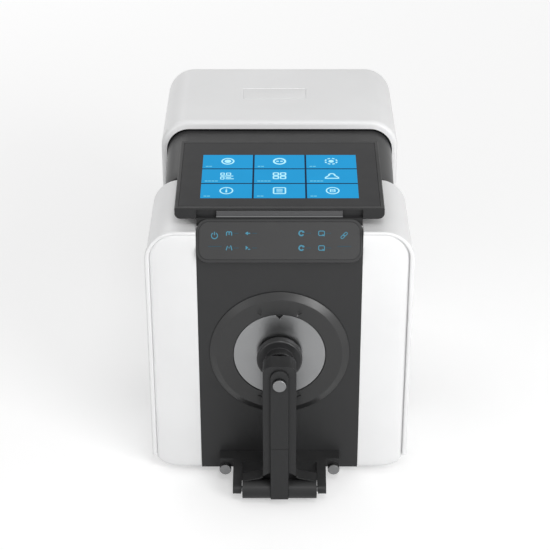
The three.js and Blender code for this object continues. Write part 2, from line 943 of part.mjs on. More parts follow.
// Rear shell: arch with a thick lip, rounded back, panel window and a bare nameplate recess
const nameplateY = rearShellFront + nameplateSetback;
const rearOuter = extrudeY(
  arch(rearShellHalf, shellBottom - rearRound, rearShellTop, rearShellCorner),
  rearShellFront - 2 * rearRound,
  bodyBack,
  rearRound,
);
const rearShell = cut(
  rearOuter,
  block(
    -rearShellHalf - overrun,
    rearShellHalf + overrun,
    rearShellFront - 3 * rearRound,
    rearShellFront,
    shellBottom - 2 * rearRound,
    rearShellTop + overrun,
  ),
  block(
    -rearShellHalf - overrun,
    rearShellHalf + overrun,
    0,
    bodyBack + overrun,
    shellBottom - 2 * rearRound,
    shellBottom,
  ),
  extrudeY(
    arch(
      rearShellHalf - rearLipSide,
      0,
      rearShellTop - rearLipTop,
      rearShellCorner - rearLipSide,
    ),
    rearShellFront - overrun,
    rearShellFront + rearLipDepth + overrun,
  ),
  extrudeY(
    arch(
      rearShellHalf - rearWallSide,
      0,
      rearShellTop - rearWallTop,
      rearShellCorner - rearWallSide,
    ),
    rearShellFront + rearLipDepth,
    bodyBack - rearWallBack,
  ),
  extrudeY(
    roundedRectangle(rearWindowHalf, rearWindowBottom, rearWindowTop, rearWindowCorner),
    bodyBack - rearWallBack - overrun,
    bodyBack + overrun,
  ),
  block(
    nameplateX - nameplateHalf,
    nameplateX + nameplateHalf,
    nameplateY - nameplateLength / 2,
    nameplateY + nameplateLength / 2,
    rearShellTop - nameplateDepth,
    rearShellTop + overrun,
  ),
);
add("rear_shell", rearShell, white, 0.3);

// Rear panel: sheet with the cut-outs of the fan, the sockets and the vents
const slots = Array.from({ length: ventSlots }, (unused, i) => {
  const z = ventBottom + i * (ventHeight + ventRib);
  return block(ventInnerX, ventOuterX, panelFront - overrun, panelBack + overrun, z, z + ventHeight);
});
const panelCut = (x, half, z, height) =>
  block(
    x - half - gap,
    x + half + gap,
    panelFront - overrun,
    panelBack + overrun,
    z - height / 2 - gap,
    z + height / 2 + gap,
  );
const rearPanel = cut(
  block(
    -rearWindowHalf - panelOverlap,
    rearWindowHalf + panelOverlap,
    panelFront,
    panelBack,
    chassisBottom,
    rearWindowTop + panelOverlap,
  ),
  rodY(fanBore, panelFront - overrun, panelBack + overrun, fanX, fanZ),
  panelCut(inletX, inletHalf, socketRowZ, inletHeight),
  panelCut(inletX, switchHalf, switchZ, switchHeight),
  panelCut(usbX, usbHalf, socketRowZ, usbHeight),
  panelCut(serialX, serialShellHalf, socketRowZ, serialShellHeight),
  ...slots,
);
add("rear_panel", rearPanel, 0x3a3b3e, 0.5, 0.3);

// Power inlet: flanged socket with three blades in its mouth
const inletFaceY = panelBack + gap + inletFlangeThickness;
const blades = [-bladePitch, 0, bladePitch].map((x) =>
  block(
    inletX + x - bladeHalf,
    inletX + x + bladeHalf,
    inletFaceY - inletMouthDepth - gap,
    inletFaceY - inletMouthDepth + bladeLength,
    socketRowZ - bladeHeight / 2,
    socketRowZ + bladeHeight / 2,
  ),
);
const inlet = join(
  cut(
    join(
      block(
        inletX - inletHalf,
        inletX + inletHalf,
        panelFront - inletDepth,
        inletFaceY,
        socketRowZ - inletHeight / 2,
        socketRowZ + inletHeight / 2,
      ),
      block(
        inletX - inletHalf - inletFlange,
        inletX + inletHalf + inletFlange,
        panelBack + gap,
        inletFaceY,
        socketRowZ - inletHeight / 2 - inletFlange / 2,
        socketRowZ + inletHeight / 2 + inletFlange / 2,
      ),
    ),
    block(
      inletX - inletMouthHalf,
      inletX + inletMouthHalf,
      inletFaceY - inletMouthDepth,
      inletFaceY + overrun,
      socketRowZ - inletMouthHeight / 2,
      socketRowZ + inletMouthHeight / 2,
    ),
  ),
  ...blades,
);
add("power_inlet", inlet, black, 0.5);

// Power switch: frame with its well, and the rocker on its axle
const switchFaceY = panelBack + gap + rockerStand;
const rockerAxisY = switchFaceY - rockerDepth / 2;
const wellHalf = rockerHalf + rockerGap;
const wellHeight = rockerHeight + 2 * rockerGap;
const switchFrame = cut(
  join(
    block(
      inletX - switchHalf,
      inletX + switchHalf,
      panelFront - switchDepth,
      switchFaceY,
      switchZ - switchHeight / 2,
      switchZ + switchHeight / 2,
    ),
    block(
      inletX - switchHalf - switchFlange,
      inletX + switchHalf + switchFlange,
      panelBack + gap,
      switchFaceY,
      switchZ - switchHeight / 2 - switchFlange,
      switchZ + switchHeight / 2 + switchFlange,
    ),
  ),
  block(
    inletX - wellHalf,
    inletX + wellHalf,
    rockerAxisY - rockerDepth,
    switchFaceY + overrun,
    switchZ - wellHeight / 2,
    switchZ + wellHeight / 2,
  ),
  rodX(
    rockerAxleRadius + gap,
    inletX - wellHalf - rockerGap,
    inletX + wellHalf + rockerGap,
    rockerAxisY,
    switchZ,
    smallSteps,
  ),
);
add("switch_frame", switchFrame, black, 0.45);

function rockerOutline() {
  const half = rockerHeight / 2;
  const top = rockerDepth / 2 + rockerStand;
  return polygon([
    [-rockerDepth / 2, half * rockerFootShare],
    [-rockerDepth / 2, -half * rockerFootShare],
    [0, -half],
    [top, -half],
    [rockerDepth / 2, 0],
    [top, half],
    [0, half],
  ]);
}
const rocker = join(
  extrudeX(rockerOutline(), -rockerHalf, rockerHalf),
  rodX(rockerAxleRadius, -rockerHalf - rockerGap, rockerHalf + rockerGap, 0, 0, smallSteps),
);
rocker.rotateX(radians(rockerTilt)).translate(inletX, rockerAxisY, switchZ);
add("power_rocker", rocker, black, 0.3);

// Data sockets
const usb = cut(
  block(
    usbX - usbHalf,
    usbX + usbHalf,
    panelFront - usbDepth,
    panelBack + usbProud,
    socketRowZ - usbHeight / 2,
    socketRowZ + usbHeight / 2,
  ),
  block(
    usbX - usbHalf + usbWall,
    usbX + usbHalf - usbWall,
    panelFront - usbDepth + usbProud,
    panelBack + usbProud + overrun,
    socketRowZ - usbHeight / 2 + usbWall,
    socketRowZ + usbHeight / 2 - usbWall,
  ),
);
add("usb_socket", usb, steel, 0.35, 1);
const serialOutline = (inset) =>
  polygon([
    [serialX - serialShellHalf + inset, socketRowZ + serialShellHeight / 2 - inset],
    [serialX - serialShellHalf + serialWall + inset, socketRowZ - serialShellHeight / 2 + inset],
    [serialX + serialShellHalf - serialWall - inset, socketRowZ - serialShellHeight / 2 + inset],
    [serialX + serialShellHalf - inset, socketRowZ + serialShellHeight / 2 - inset],
  ]);
const serial = cut(
  join(
    block(
      serialX - serialHalf,
      serialX + serialHalf,
      panelFront - gap - serialPlate,
      panelFront - gap,
      socketRowZ - serialHeight / 2,
      socketRowZ + serialHeight / 2,
    ),
    extrudeY(serialOutline(0), panelFront - serialShellDepth, panelBack + serialProud),
  ),
  extrudeY(
    serialOutline(serialWall),
    panelFront - serialShellDepth + serialProud,
    panelBack + serialProud + overrun,
  ),
);
add("serial_socket", serial, steel, 0.35, 1);

// Fan: frame with its motor on struts, rotor, and guard
const fanBack = panelFront - gap;
const fanFront = fanBack - fanDepth;
const fanSquare = roundedRectangle(fanHalf, -fanHalf, fanHalf, fanCorner);
const strut = (alongX) =>
  block(
    alongX ? -fanHalf : -fanStrutHalf,
    alongX ? fanHalf : fanStrutHalf,
    fanFront,
    fanFront + fanStrutDepth,
    alongX ? -fanStrutHalf : -fanHalf,
    alongX ? fanStrutHalf : fanHalf,
  );
const fanFrame = join(
  cut(extrudeY(fanSquare, fanFront, fanBack), rodY(fanBore, fanFront - overrun, fanBack + overrun, 0, 0)),
  common(join(strut(true), strut(false)), rodY(fanHalf, fanFront, fanBack, 0, 0)),
  rodY(fanMotorRadius, fanFront, fanFront + fanStrutDepth, 0, 0, smallSteps),
  rodY(fanAxleRadius, fanFront, fanFront + fanStrutDepth + fanHubDepth / 2, 0, 0, smallSteps),
);
fanFrame.translate(fanX, 0, fanZ);
add("fan_frame", fanFrame, black, 0.6);

const rotorFront = fanFront + fanStrutDepth + gap;
const rotorBack = rotorFront + fanHubDepth;
const rotorMiddle = (rotorFront + rotorBack) / 2;
const bladeShape = () => {
  const inner = fanHubRadius / 2;
  const blade = new THREE.BoxGeometry(fanBladeLength - inner, fanBladeThickness, fanBladeWidth);
  blade.translate((fanBladeLength + inner) / 2, 0, 0);
  return blade.rotateX(quarter - radians(fanBladeAngle)).translate(0, rotorMiddle, 0);
};
const rotor = cut(
  join(
    rodY(fanHubRadius, rotorFront, rotorBack, 0, 0),
    ...Array.from({ length: fanBlades }, (unused, i) =>
      bladeShape().rotateY((i * 4 * quarter) / fanBlades),
    ),
  ),
  rodY(fanAxleRadius + gap, rotorFront - overrun, rotorFront + fanHubDepth / 2 + gap, 0, 0, smallSteps),
);
rotor.translate(fanX, 0, fanZ);
add("fan_rotor", rotor, black, 0.5);

const guardPitch = (guardRadius - guardWireWidth - guardHubRadius) / guardRings;
const guardHoles = [];
for (let ringIndex = 0; ringIndex < guardRings; ringIndex += 1) {
  const inner = guardHubRadius + ringIndex * guardPitch + (ringIndex ? guardWireWidth / 2 : 0);
  const outer = guardHubRadius + (ringIndex + 1) * guardPitch - guardWireWidth / 2;
  for (let side = 0; side < 4; side += 1) {
    const startInner = side * quarter + guardWireWidth / inner;
    const startOuter = side * quarter + guardWireWidth / outer;
    const endInner = (side + 1) * quarter - guardWireWidth / inner;
    const endOuter = (side + 1) * quarter - guardWireWidth / outer;
    const hole = new THREE.Path();
    hole.absarc(0, 0, outer, startOuter, endOuter);
    hole.absarc(0, 0, inner, endInner, startInner, true);
    hole.closePath();
    guardHoles.push(hole);
  }
}
const guardDisc = new THREE.Shape();
guardDisc.absarc(0, 0, guardRadius, 0, 4 * quarter);
guardDisc.holes = guardHoles;
const guardBack = panelBack + gap + guardThickness;
const guard = extrudeY(guardDisc, panelBack + gap, guardBack, 0, guardSteps);
guard.translate(fanX, 0, fanZ);
add("fan_guard", guard, black, 0.4, 0.8);

// Bulkheads on either side of the transmission compartment
const frontBulkhead = cut(
  extrudeY(
    arch(shellInnerHalf - gap, chassisTop + gap, shellInnerTop - gap, shellInnerCorner - gap),
    frontBulkheadFront,
    frontBulkheadBack,
  ),
  rodY(windowRadius + gap, frontBulkheadFront - overrun, frontBulkheadBack + overrun, 0, portHeight),
);
add("front_bulkhead", frontBulkhead, charcoal, 0.6);
const rearBulkheadHalf = hoodHalf - hoodWall - bulkheadSideGap;
const rearBulkheadTop = hoodTop - hoodFrontDrop - hoodWall - bulkheadTopGap;
const rearBulkheadCorner = hoodCorner - hoodWall - bulkheadSideGap;
const rearBulkhead = cut(
  extrudeY(
    arch(rearBulkheadHalf, chassisTop + gap, rearBulkheadTop, rearBulkheadCorner),
    rearBulkheadFront,
    rearBulkheadBack,
  ),
  rodY(barrelRadius + gap, rearBulkheadFront - overrun, rearBulkheadBack + overrun, 0, portHeight),
);
add("rear_bulkhead", rearBulkhead, charcoal, 0.6);
const windowMiddle = (frontBulkheadFront + frontBulkheadBack) / 2;
const windowDisc = rodY(
  windowRadius,
  windowMiddle - windowThickness / 2,
  windowMiddle + windowThickness / 2,
  0,
  portHeight,
);
add("front_window", windowDisc, clearGlass, 0.05);
const floorHalf = hoodHalf - hoodWall - floorSideGap;
const floor = block(
  -floorHalf,
  floorHalf,
  frontBulkheadBack + gap,
  rearBulkheadFront - gap,
  floorHeight - floorThickness,
  floorHeight,
);
add("compartment_floor", floor, charcoal, 0.6);
const holderBottom = floorHeight + gap;
const holderY = frontShellDepth + holderSetback;
const holderTop = portHeight + holderRise;
const holderHoleRadius = windowRadius + holderHoleEase;
const holder = cut(
  join(
    block(
      -holderHalf,
      holderHalf,
      holderY - holderBaseDepth / 2,
      holderY + holderBaseDepth / 2,
      holderBottom,
      holderBottom + holderBaseHeight,
    ),
    extrudeY(
      roundedRectangle(holderHalf, holderBottom, holderTop, holderPlateDepth),
      holderY - holderPlateDepth / 2,
      holderY + holderPlateDepth / 2,
    ),
  ),
  rodY(holderHoleRadius, holderY - holderBaseDepth, holderY + holderBaseDepth, 0, portHeight),
);
add("sample_holder", holder, black, 0.5, 0.4);

// Integrating sphere: two flanged shells, each open at its port
function hemisphere(portOpening, side) {
  const steps = arcSteps;
  const profile = [];
  const outerStart = Math.asin(portOpening / sphereOuter);
  const flangeDepth = sphereFlangeHalf - gap / 2;
  const outerEnd = Math.acos(sphereFlangeHalf / sphereOuter);
  for (let i = 0; i <= steps; i += 1) {
    const angle = outerStart + ((outerEnd - outerStart) * i) / steps;
    profile.push([sphereOuter * Math.sin(angle), sphereOuter * Math.cos(angle)]);
  }
  profile.push([sphereOuter + sphereFlange, sphereFlangeHalf]);
  profile.push([sphereOuter + sphereFlange, sphereFlangeHalf - flangeDepth]);
  const innerStart = Math.asin(portOpening / sphereInner);
  const innerEnd = Math.acos((sphereFlangeHalf - flangeDepth) / sphereInner);
  for (let i = steps; i >= 0; i -= 1) {
    const angle = innerStart + ((innerEnd - innerStart) * i) / steps;
    profile.push([sphereInner * Math.sin(angle), sphereInner * Math.cos(angle)]);
  }
  const placed = profile.map(([r, y]) => [r, sphereY + side * y]);
  return turned(placed, roundSteps, portHeight);
}
const sphereFrontPort = portTubeRadius + portTubeWall + gap;
add("sphere_front", hemisphere(sphereFrontPort, -1), opticalWhite, 0.8);
add("sphere_rear", hemisphere(windowRadius, 1), opticalWhite, 0.8);
const sphereFlangeRadius = sphereOuter + sphereFlange;
const sphereStand = cut(
  block(
    -standHalf,
    standHalf,
    sphereY - standDepth / 2,
    sphereY + standDepth / 2,
    chassisTop + gap,
    portHeight - sphereFlangeRadius + standSaddle,
  ),
  rodY(sphereFlangeRadius + gap, 0, frontShellDepth, 0, portHeight, fineSteps),
);
add("sphere_stand", sphereStand, aluminium, 0.5, 1);

// Lamp module on the top of the sphere, held to the front bulkhead by a tongue
const lampBottom = portHeight + sphereFlangeRadius + gap;
const lampBoxBottom = lampBottom + lampStemLength;
const lampBoxTop = lampBoxBottom + lampHeight;
const lampBack = sphereY + lampDepth / 2;
const lamp = join(
  rodZ(lampStemRadius, lampBottom, lampBoxBottom + gap, 0, sphereY),
  block(-lampHalf, lampHalf, sphereY - lampDepth / 2, lampBack, lampBoxBottom, lampBoxTop),
  block(
    -lampTongueHalf,
    lampTongueHalf,
    lampBack - gap,
    frontBulkheadFront - gap,
    lampBoxTop - lampTongueThickness,
    lampBoxTop,
  ),
);
add("lamp_module", lamp, black, 0.6, 0.2);

// Lens barrel through the rear bulkhead, with its lens
const barrelFront = rearBulkheadFront - barrelNose;
const boxFront = rearBulkheadBack + gap + barrelFlangeThickness + gap;
const lensBarrel = turned(
  [
    [barrelBore, boxFront - gap],
    [barrelFlange, boxFront - gap],
    [barrelFlange, rearBulkheadBack + gap],
    [barrelRadius, rearBulkheadBack + gap],
    [barrelRadius, barrelFront],
    [barrelBore, barrelFront],
  ],
  roundSteps,
  portHeight,
);
add("lens_barrel", lensBarrel, black, 0.5, 0.6);
const lens = rodY(
  barrelBore - gap,
  barrelFront + lensSetback,
  barrelFront + lensSetback + lensThickness,
  0,
  portHeight,
);
add("collecting_lens", lens, clearGlass, 0.05);

// Spectrometer: open box with its lid, grating and detector board, on a bench over the main board
const boxBack = fanFront - boxFanGap;
const boxBottom = portHeight - boxHeight / 2;
const boxTop = portHeight + boxHeight / 2;
const spectrometer = cut(
  block(-boxHalf, boxHalf, boxFront, boxBack, boxBottom, boxTop),
  block(
    boxWall - boxHalf,
    boxHalf - boxWall,
    boxFront + boxWall,
    boxBack - boxWall,
    boxBottom + boxWall,
    boxTop + overrun,
  ),
  rodY(barrelBore, boxFront - overrun, boxFront + boxWall + overrun, 0, portHeight),
);
add("spectrometer_body", spectrometer, black, 0.5, 0.7);
const lid = block(-boxHalf, boxHalf, boxFront, boxBack, boxTop + gap, boxTop + gap + boxLid);
add("spectrometer_lid", lid, black, 0.5, 0.7);
const boxFloor = boxBottom + boxWall + gap;
const gratingBack = boxBack - boxWall - gap;
const grating = block(
  -gratingHalf,
  gratingHalf,
  gratingBack - gratingDepth,
  gratingBack,
  boxFloor,
  boxFloor + gratingHeight,
);
add("grating", grating, steel, 0.15, 1);
const detectorFront = boxFront + boxWall + gap;
const detectorX = boxHalf - boxWall - detectorSideGap - detectorHalf;
const detector = block(
  detectorX - detectorHalf,
  detectorX + detectorHalf,
  detectorFront,
  detectorFront + detectorThickness,
  boxFloor,
  boxFloor + detectorHeight,
);
add("detector_board", detector, greenBoard, 0.5);
const benchTop = boxBottom - gap;
const benchFront = boxFront + benchInset;
const benchBack = boxBack - benchInset;
const bench = cut(
  block(-benchHalf, benchHalf, benchFront, benchBack, chassisTop + gap, benchTop),
  block(
    benchThickness - benchHalf,
    benchHalf - benchThickness,
    benchFront - overrun,
    benchBack + overrun,
    0,
    benchTop - benchThickness,
  ),
);
add("spectrometer_bench", bench, aluminium, 0.5, 1);

// Main board and power supply
const boardBottom = chassisTop + standoffHeight + gap;
const board = join(
  block(-boardHalf, boardHalf, boardFront, boardBack, boardBottom, boardBottom + boardThickness),
  block(
    -chipHalf,
    chipHalf,
    (boardFront + boardBack) / 2 - chipHalf,
    (boardFront + boardBack) / 2 + chipHalf,
    boardBottom,
    boardBottom + boardThickness + chipHeight,
  ),
);
add("main_board", board, greenBoard, 0.5);
const supplyFront = rearBulkheadBack + supplyFrontInset;
const supplyBack = panelFront - inletDepth - supplyInletGap;
const supply = block(
  supplyInnerX,
  supplyInnerX + supplyWidth,
  supplyFront,
  supplyBack,
  chassisTop + gap,
  chassisTop + gap + supplyHeight,
);
add("power_supply", supply, aluminium, 0.4, 1);

// Clamp base: a bar under the port with two ears for the hinge
const clampBack = -gap;
const clampFront = clampBack - clampBlockDepth;
const wingFront = clampBack - clampWingDepth;
const thumbscrewHole = (x) =>
  rodY(thumbscrewShank + gap, wingFront - overrun, clampBack + overrun, x, thumbscrewZ, smallSteps);

function ear(side) {
  const profile = new THREE.Shape();
  profile.moveTo(clampFront + overrun, hingeZ - earRadius);
  profile.lineTo(clampFront + overrun, clampTop);
  profile.lineTo(clampFront, clampTop);
  profile.lineTo(hingeY, hingeZ + earRadius);
  profile.absarc(hingeY, hingeZ, earRadius, quarter, 3 * quarter);
  profile.closePath();
  const front = polygon([
    [side * earOuter, hingeZ - earRadius - overrun],
    [side * earOuter, clampTop + overrun],
    [side * earInner, clampTop + overrun],
    [side * earInner, hingeZ + earRadius],
    [side * (earInner + earTaper), hingeZ - earRadius - overrun],
  ]);
  return common(
    extrudeX(profile, -clampHalf, clampHalf),
    extrudeY(front, hingeY - hingeBarrelRadius, clampFront + overrun),
  );
}
const clampBase = cut(
  join(
    block(-clampBlockHalf, clampBlockHalf, clampFront, clampBack, clampBottom, clampTop),
    block(-clampHalf, clampHalf, wingFront, clampBack, clampTop - clampWingHeight, clampTop),
    rodY(clampLugRadius, wingFront, clampBack, thumbscrewX, thumbscrewZ),
    rodY(clampLugRadius, wingFront, clampBack, -thumbscrewX, thumbscrewZ),
    ear(1),
    ear(-1),
  ),
  rodX(hingePinRadius + gap, -clampHalf, clampHalf, hingeY, hingeZ, smallSteps),
  thumbscrewHole(thumbscrewX),
  thumbscrewHole(-thumbscrewX),
);
add("clamp_base", clampBase, charcoal, 0.4);
const screwEnd = wingFront + thumbscrewReach;
for (const [name, x] of [["thumbscrew_left", -thumbscrewX], ["thumbscrew_right", thumbscrewX]]) {
  const head = new THREE.Shape();
  for (let i = 0; i < 2 * thumbscrewFlats; i += 1) {
    const radius = thumbscrewRadius - (i % 2) * thumbscrewGroove;
    const angle = (i * 2 * quarter) / thumbscrewFlats;
    const point = [x + radius * Math.cos(angle), thumbscrewZ + radius * Math.sin(angle)];
    if (i) head.lineTo(...point);
    else head.moveTo(...point);
  }
  head.closePath();
  const headBack = wingFront - gap;
  const screw = join(
    extrudeY(head, headBack - thumbscrewLength, headBack),
    rodY(thumbscrewShank, headBack - gap, screwEnd, x, thumbscrewZ, smallSteps),
  );
  add(name, screw, steel, 0.35, 1);
}

// Hinge pin, flush with the ears
const hingePin = rodX(hingePinRadius, -earOuter, earOuter, hingeY, hingeZ, smallSteps);
add("hinge_pin", hingePin, steel, 0.3, 1);

// Arm: barrel on the hinge pin, saddle, post, and the neck that guides the press head
const armTop = portHeight + armHeadRise;
const coverTop = portHeight + coverRise;
const coverChannelHalf = coverHalf + gap;
const coverBackY = armFrontY - coverProud + coverThickness;
const channelBackY = coverBackY + gap;
const channelTop = coverTop + gap;

function coverFace(half, bottom, top) {
  const shape = new THREE.Shape();
  shape.moveTo(-half, bottom);
  shape.lineTo(half, bottom);
  shape.lineTo(half, top - half);
  shape.absarc(0, top - half, half, 0, 2 * quarter);
  shape.closePath();
  return shape;
}

const barrelTop = hingeZ + hingeBarrelRadius;

// An outline that mirrors itself: down one side by its shares, and up the other
function footOutline(shares) {
  const place = (side) => ([across, up]) => [side * across * hingeBarrelHalf, barrelTop + up * saddleRise];
  const outer = shares[0][0] * hingeBarrelHalf;
  const left = [...shares].reverse().map(place(-1));
  return polygon([[-outer, hingeZ], [outer, hingeZ], ...shares.map(place(1)), ...left]);
}

const foot = cut(
  join(
    extrudeY(footOutline(saddleShares), saddleFrontY, armBackY),
    extrudeY(roundedRectangle(armHalf, hingeZ, armTop, armCorner / 2, armCorner), armFrontY, armBackY),
  ),
  extrudeY(footOutline(hollowShares), armFrontY - overrun, saddleHollowY),
);
const armSolid = cut(
  join(
    foot,
    rodX(hingeBarrelRadius, -hingeBarrelHalf, hingeBarrelHalf, hingeY, hingeZ),
    rodY(armNeckRadius, armBackY - gap, armBackY + armNeckLength, 0, portHeight),
  ),
  extrudeY(
    coverFace(coverChannelHalf, 0, channelTop),
    armFrontY - overrun,
    channelBackY,
  ),
  rodY(spindleRadius + gap, armFrontY - overrun, armBackY + armNeckLength + overrun, 0, portHeight),
  rodX(hingePinRadius + gap, -clampHalf, clampHalf, hingeY, hingeZ, smallSteps),
  rodX(
    springPocketRadius,
    hingeBarrelHalf - springPocketDepth,
    hingeBarrelHalf + overrun,
    hingeY,
    hingeZ,
    smallSteps,
  ),
);
add("arm", armSolid, charcoal, 0.4);

// Cover strip in the channel of the arm
const cover = cut(
  extrudeY(coverFace(coverHalf, coverBottom, coverTop), armFrontY - coverProud, coverBackY),
  rodY(spindleRadius + gap, armFrontY - overrun, channelBackY + overrun, 0, portHeight),
);
add("arm_cover", cover, charcoal, 0.3);

// Coil springs: a round wire along a helix about the y axis, from y = 0 to the length
class Helix extends THREE.Curve {
  constructor(radius, length, turns) {
    super();
    Object.assign(this, { radius, length, turns });
  }

  getPoint(share, target = new THREE.Vector3()) {
    const angle = share * this.turns * 4 * quarter;
    const x = this.radius * Math.cos(angle);
    return target.set(x, share * this.length, this.radius * Math.sin(angle));
  }
}

function coil(radius, wire, length, turns) {
  const section = new THREE.Shape();
  section.absarc(0, 0, wire, 0, 4 * quarter);
  return new THREE.ExtrudeGeometry(section, {
    steps: turns * coilSteps,
    curveSegments: wireSteps,
    extrudePath: new Helix(radius, length, turns),
  });
}

// Return spring of the arm, round the hinge pin and inside the barrel
const returnSpring = coil(springRadius, springWire, springTurns * springPitch, springTurns);
const springStart = hingeBarrelHalf - springPocketDepth + springWire + gap;
add("return_spring", returnSpring.rotateZ(-quarter).translate(springStart, hingeY, hingeZ), steel, 0.3, 1);

// Press head: spring, flanged cup, spindle and pad
const cupFloorFront = cupBackY - cupFloor;
const flangeFrontY = cupBackY - cupFlange;
const pressSpringFront = armBackY + armNeckLength + gap + pressSpringWire;
const pressSpringLength = cupFloorFront - gap - pressSpringWire - pressSpringFront;
const pressSpring = coil(pressSpringRadius, pressSpringWire, pressSpringLength, pressSpringTurns);
add("press_spring", pressSpring.translate(0, pressSpringFront, portHeight), steel, 0.3, 1);
const cup = turned(
  [
    [spindleStepRadius + gap, cupBackY],
    [cupRadius - cupRound, cupBackY],
    [cupRadius, cupBackY - cupRound],
    [cupRadius, flangeFrontY + cupRound],
    [cupRadius - cupRound, flangeFrontY],
    [cupSleeveRadius, flangeFrontY],
    [cupSleeveRadius, cupFrontY],
    [cupPocketRadius, cupFrontY],
    [cupPocketRadius, cupFloorFront],
    [spindleStepRadius + gap, cupFloorFront],
  ],
  fineSteps,
  portHeight,
);
add("press_cup", cup, charcoal, 0.35);
const spindle = join(
  rodY(spindleRadius, spindleFrontY, cupFloorFront - gap, 0, portHeight, roundSteps),
  rodY(spindleStepRadius, cupFloorFront - spindleStep, cupBackY - gap, 0, portHeight, smallSteps),
);
add("head_spindle", spindle, steel, 0.3, 1);
const padFront = cupBackY + gap;
const pad = turned(
  [
    [0, padFront + padThickness],
    [padRadius - padRound, padFront + padThickness],
    [padRadius, padFront + padThickness - padRound],
    [padRadius, padFront],
    [0, padFront],
  ],
  roundSteps,
  portHeight,
);
add("head_pad", pad, rubber, 0.8);

export default instrument;
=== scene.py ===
import math

import bmesh
import bpy
from mathutils import Matrix, Vector


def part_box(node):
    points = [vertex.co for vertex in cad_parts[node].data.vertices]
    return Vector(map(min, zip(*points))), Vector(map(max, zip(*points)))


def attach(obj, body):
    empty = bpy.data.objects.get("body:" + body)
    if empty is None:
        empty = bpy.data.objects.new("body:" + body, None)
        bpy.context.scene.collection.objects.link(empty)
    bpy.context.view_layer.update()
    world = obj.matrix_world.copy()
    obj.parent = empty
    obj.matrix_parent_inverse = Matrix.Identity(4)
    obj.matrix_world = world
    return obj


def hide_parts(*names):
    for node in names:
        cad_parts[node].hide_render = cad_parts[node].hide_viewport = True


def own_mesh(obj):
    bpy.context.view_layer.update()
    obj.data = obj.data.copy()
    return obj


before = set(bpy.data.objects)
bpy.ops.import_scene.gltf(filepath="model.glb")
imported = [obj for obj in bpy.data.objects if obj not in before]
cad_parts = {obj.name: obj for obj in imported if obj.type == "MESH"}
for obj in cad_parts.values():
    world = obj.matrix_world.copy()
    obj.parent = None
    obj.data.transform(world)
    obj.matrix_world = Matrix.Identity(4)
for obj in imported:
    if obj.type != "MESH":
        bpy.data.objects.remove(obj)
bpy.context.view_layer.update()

# Camera: a long lens in front of the instrument, looking down on it, and shifted sideways as the
# picture is cropped
front_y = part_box("front_column")[0].y
camera_reach, camera_height, camera_dip = 1.4147, 1.0097, math.radians(28.7)
lens_data = bpy.data.cameras.new("camera")
lens_data.sensor_width = 36.0
lens_data.lens = 108.33
lens_data.shift_x = -0.0082
camera = bpy.data.objects.new("camera", lens_data)
camera.location = (0.0, front_y - camera_reach, camera_height)
camera.rotation_euler = (math.pi / 2 - camera_dip, 0.0, 0.0)
scene = bpy.context.scene
scene.collection.objects.link(camera)
scene.camera = camera
scene.view_settings.view_transform = "Standard"


# Room: a pale floor and a pale surround, which are seen brighter than they shine, and four square
# soft lamps, the strongest from the right
def feed(tree, socket, value):
    """Gives an input a plain value, or links it to a socket or to a node's first output."""
    if isinstance(value, bpy.types.Node):
        value = value.outputs[0]
    if isinstance(value, bpy.types.NodeSocket):
        tree.links.new(value, socket)
    else:
        socket.default_value = value


def plug(tree, node, **inputs):
    """Feeds a node's inputs, which are named with _ for a space."""
    for label, value in inputs.items():
        feed(tree, node.inputs[label.replace("_", " ")], value)
    return node


def wire(tree, kind, settings=None, **inputs):
    """A new node in a tree, with its settings and its inputs."""
    node = tree.nodes.new(kind)
    for key, value in (settings or {}).items():
        setattr(node, key, value)
    return plug(tree, node, **inputs)


def number(tree, operation, *values):
    """A math node on one or two values."""
    node = wire(tree, "ShaderNodeMath", {"operation": operation})
    for socket, value in zip(node.inputs, values):
        feed(tree, socket, value)
    return node


def seen_directly(tree):
    """The mask of camera, glossy and transmission rays, which see the room at full strength."""
    path = tree.nodes.new("ShaderNodeLightPath").outputs
    seen = number(tree, "MAXIMUM", path["Is Camera Ray"], path["Is Glossy Ray"])
    return number(tree, "MAXIMUM", seen, path["Is Transmission Ray"])


def place_on(tree):
    """The place on a piece, which patterns follow."""
    return tree.nodes.new("ShaderNodeTexCoord").outputs["Object"]


white = (1.0, 1.0, 1.0, 1.0)
surround = bpy.data.worlds.new("surround")
surround.use_nodes = True
scene.world = surround
sky = surround.node_tree
sky.nodes.clear()
room_mix = wire(sky, "ShaderNodeMixShader", Fac=seen_directly(sky))
room_shine, room_seen = 0.45, 1.0
for slot, strength in ((1, room_shine), (2, room_seen)):
    room_light = wire(sky, "ShaderNodeBackground", Color=white, Strength=strength)
    feed(sky, room_mix.inputs[slot], room_light)
wire(sky, "ShaderNodeOutputWorld", Surface=room_mix)

floor_half, floor_tone, floor_near, floor_far = 60.0, 0.75, 0.5, 3.5
floor_mesh = bpy.data.meshes.new("floor")
floor_corners = [(x * floor_half, y * floor_half, 0.0) for x, y in ((-1, -1), (1, -1), (1, 1), (-1, 1))]
floor_mesh.from_pydata(floor_corners, [], [(0, 1, 2, 3)])
floor = bpy.data.objects.new("floor", floor_mesh)
scene.collection.objects.link(floor)
floor_paint = bpy.data.materials.new("floor_paint")
floor_paint.use_nodes = True
tree = floor_paint.node_tree
reach = wire(tree, "ShaderNodeVectorMath", {"operation": "LENGTH"}, Vector=place_on(tree)).outputs["Value"]
far_glow = wire(
    tree, "ShaderNodeMapRange", Value=reach, From_Min=floor_near, From_Max=floor_far, To_Min=0.38, To_Max=0.63
)
plug(
    tree, tree.nodes["Principled BSDF"],
    Base_Color=(floor_tone, floor_tone, floor_tone, 1.0), Roughness=0.9, Specular_IOR_Level=0.1,
    Emission_Color=white, Emission_Strength=number(tree, "MULTIPLY", seen_directly(tree), far_glow),
)
floor_mesh.materials.append(floor_paint)

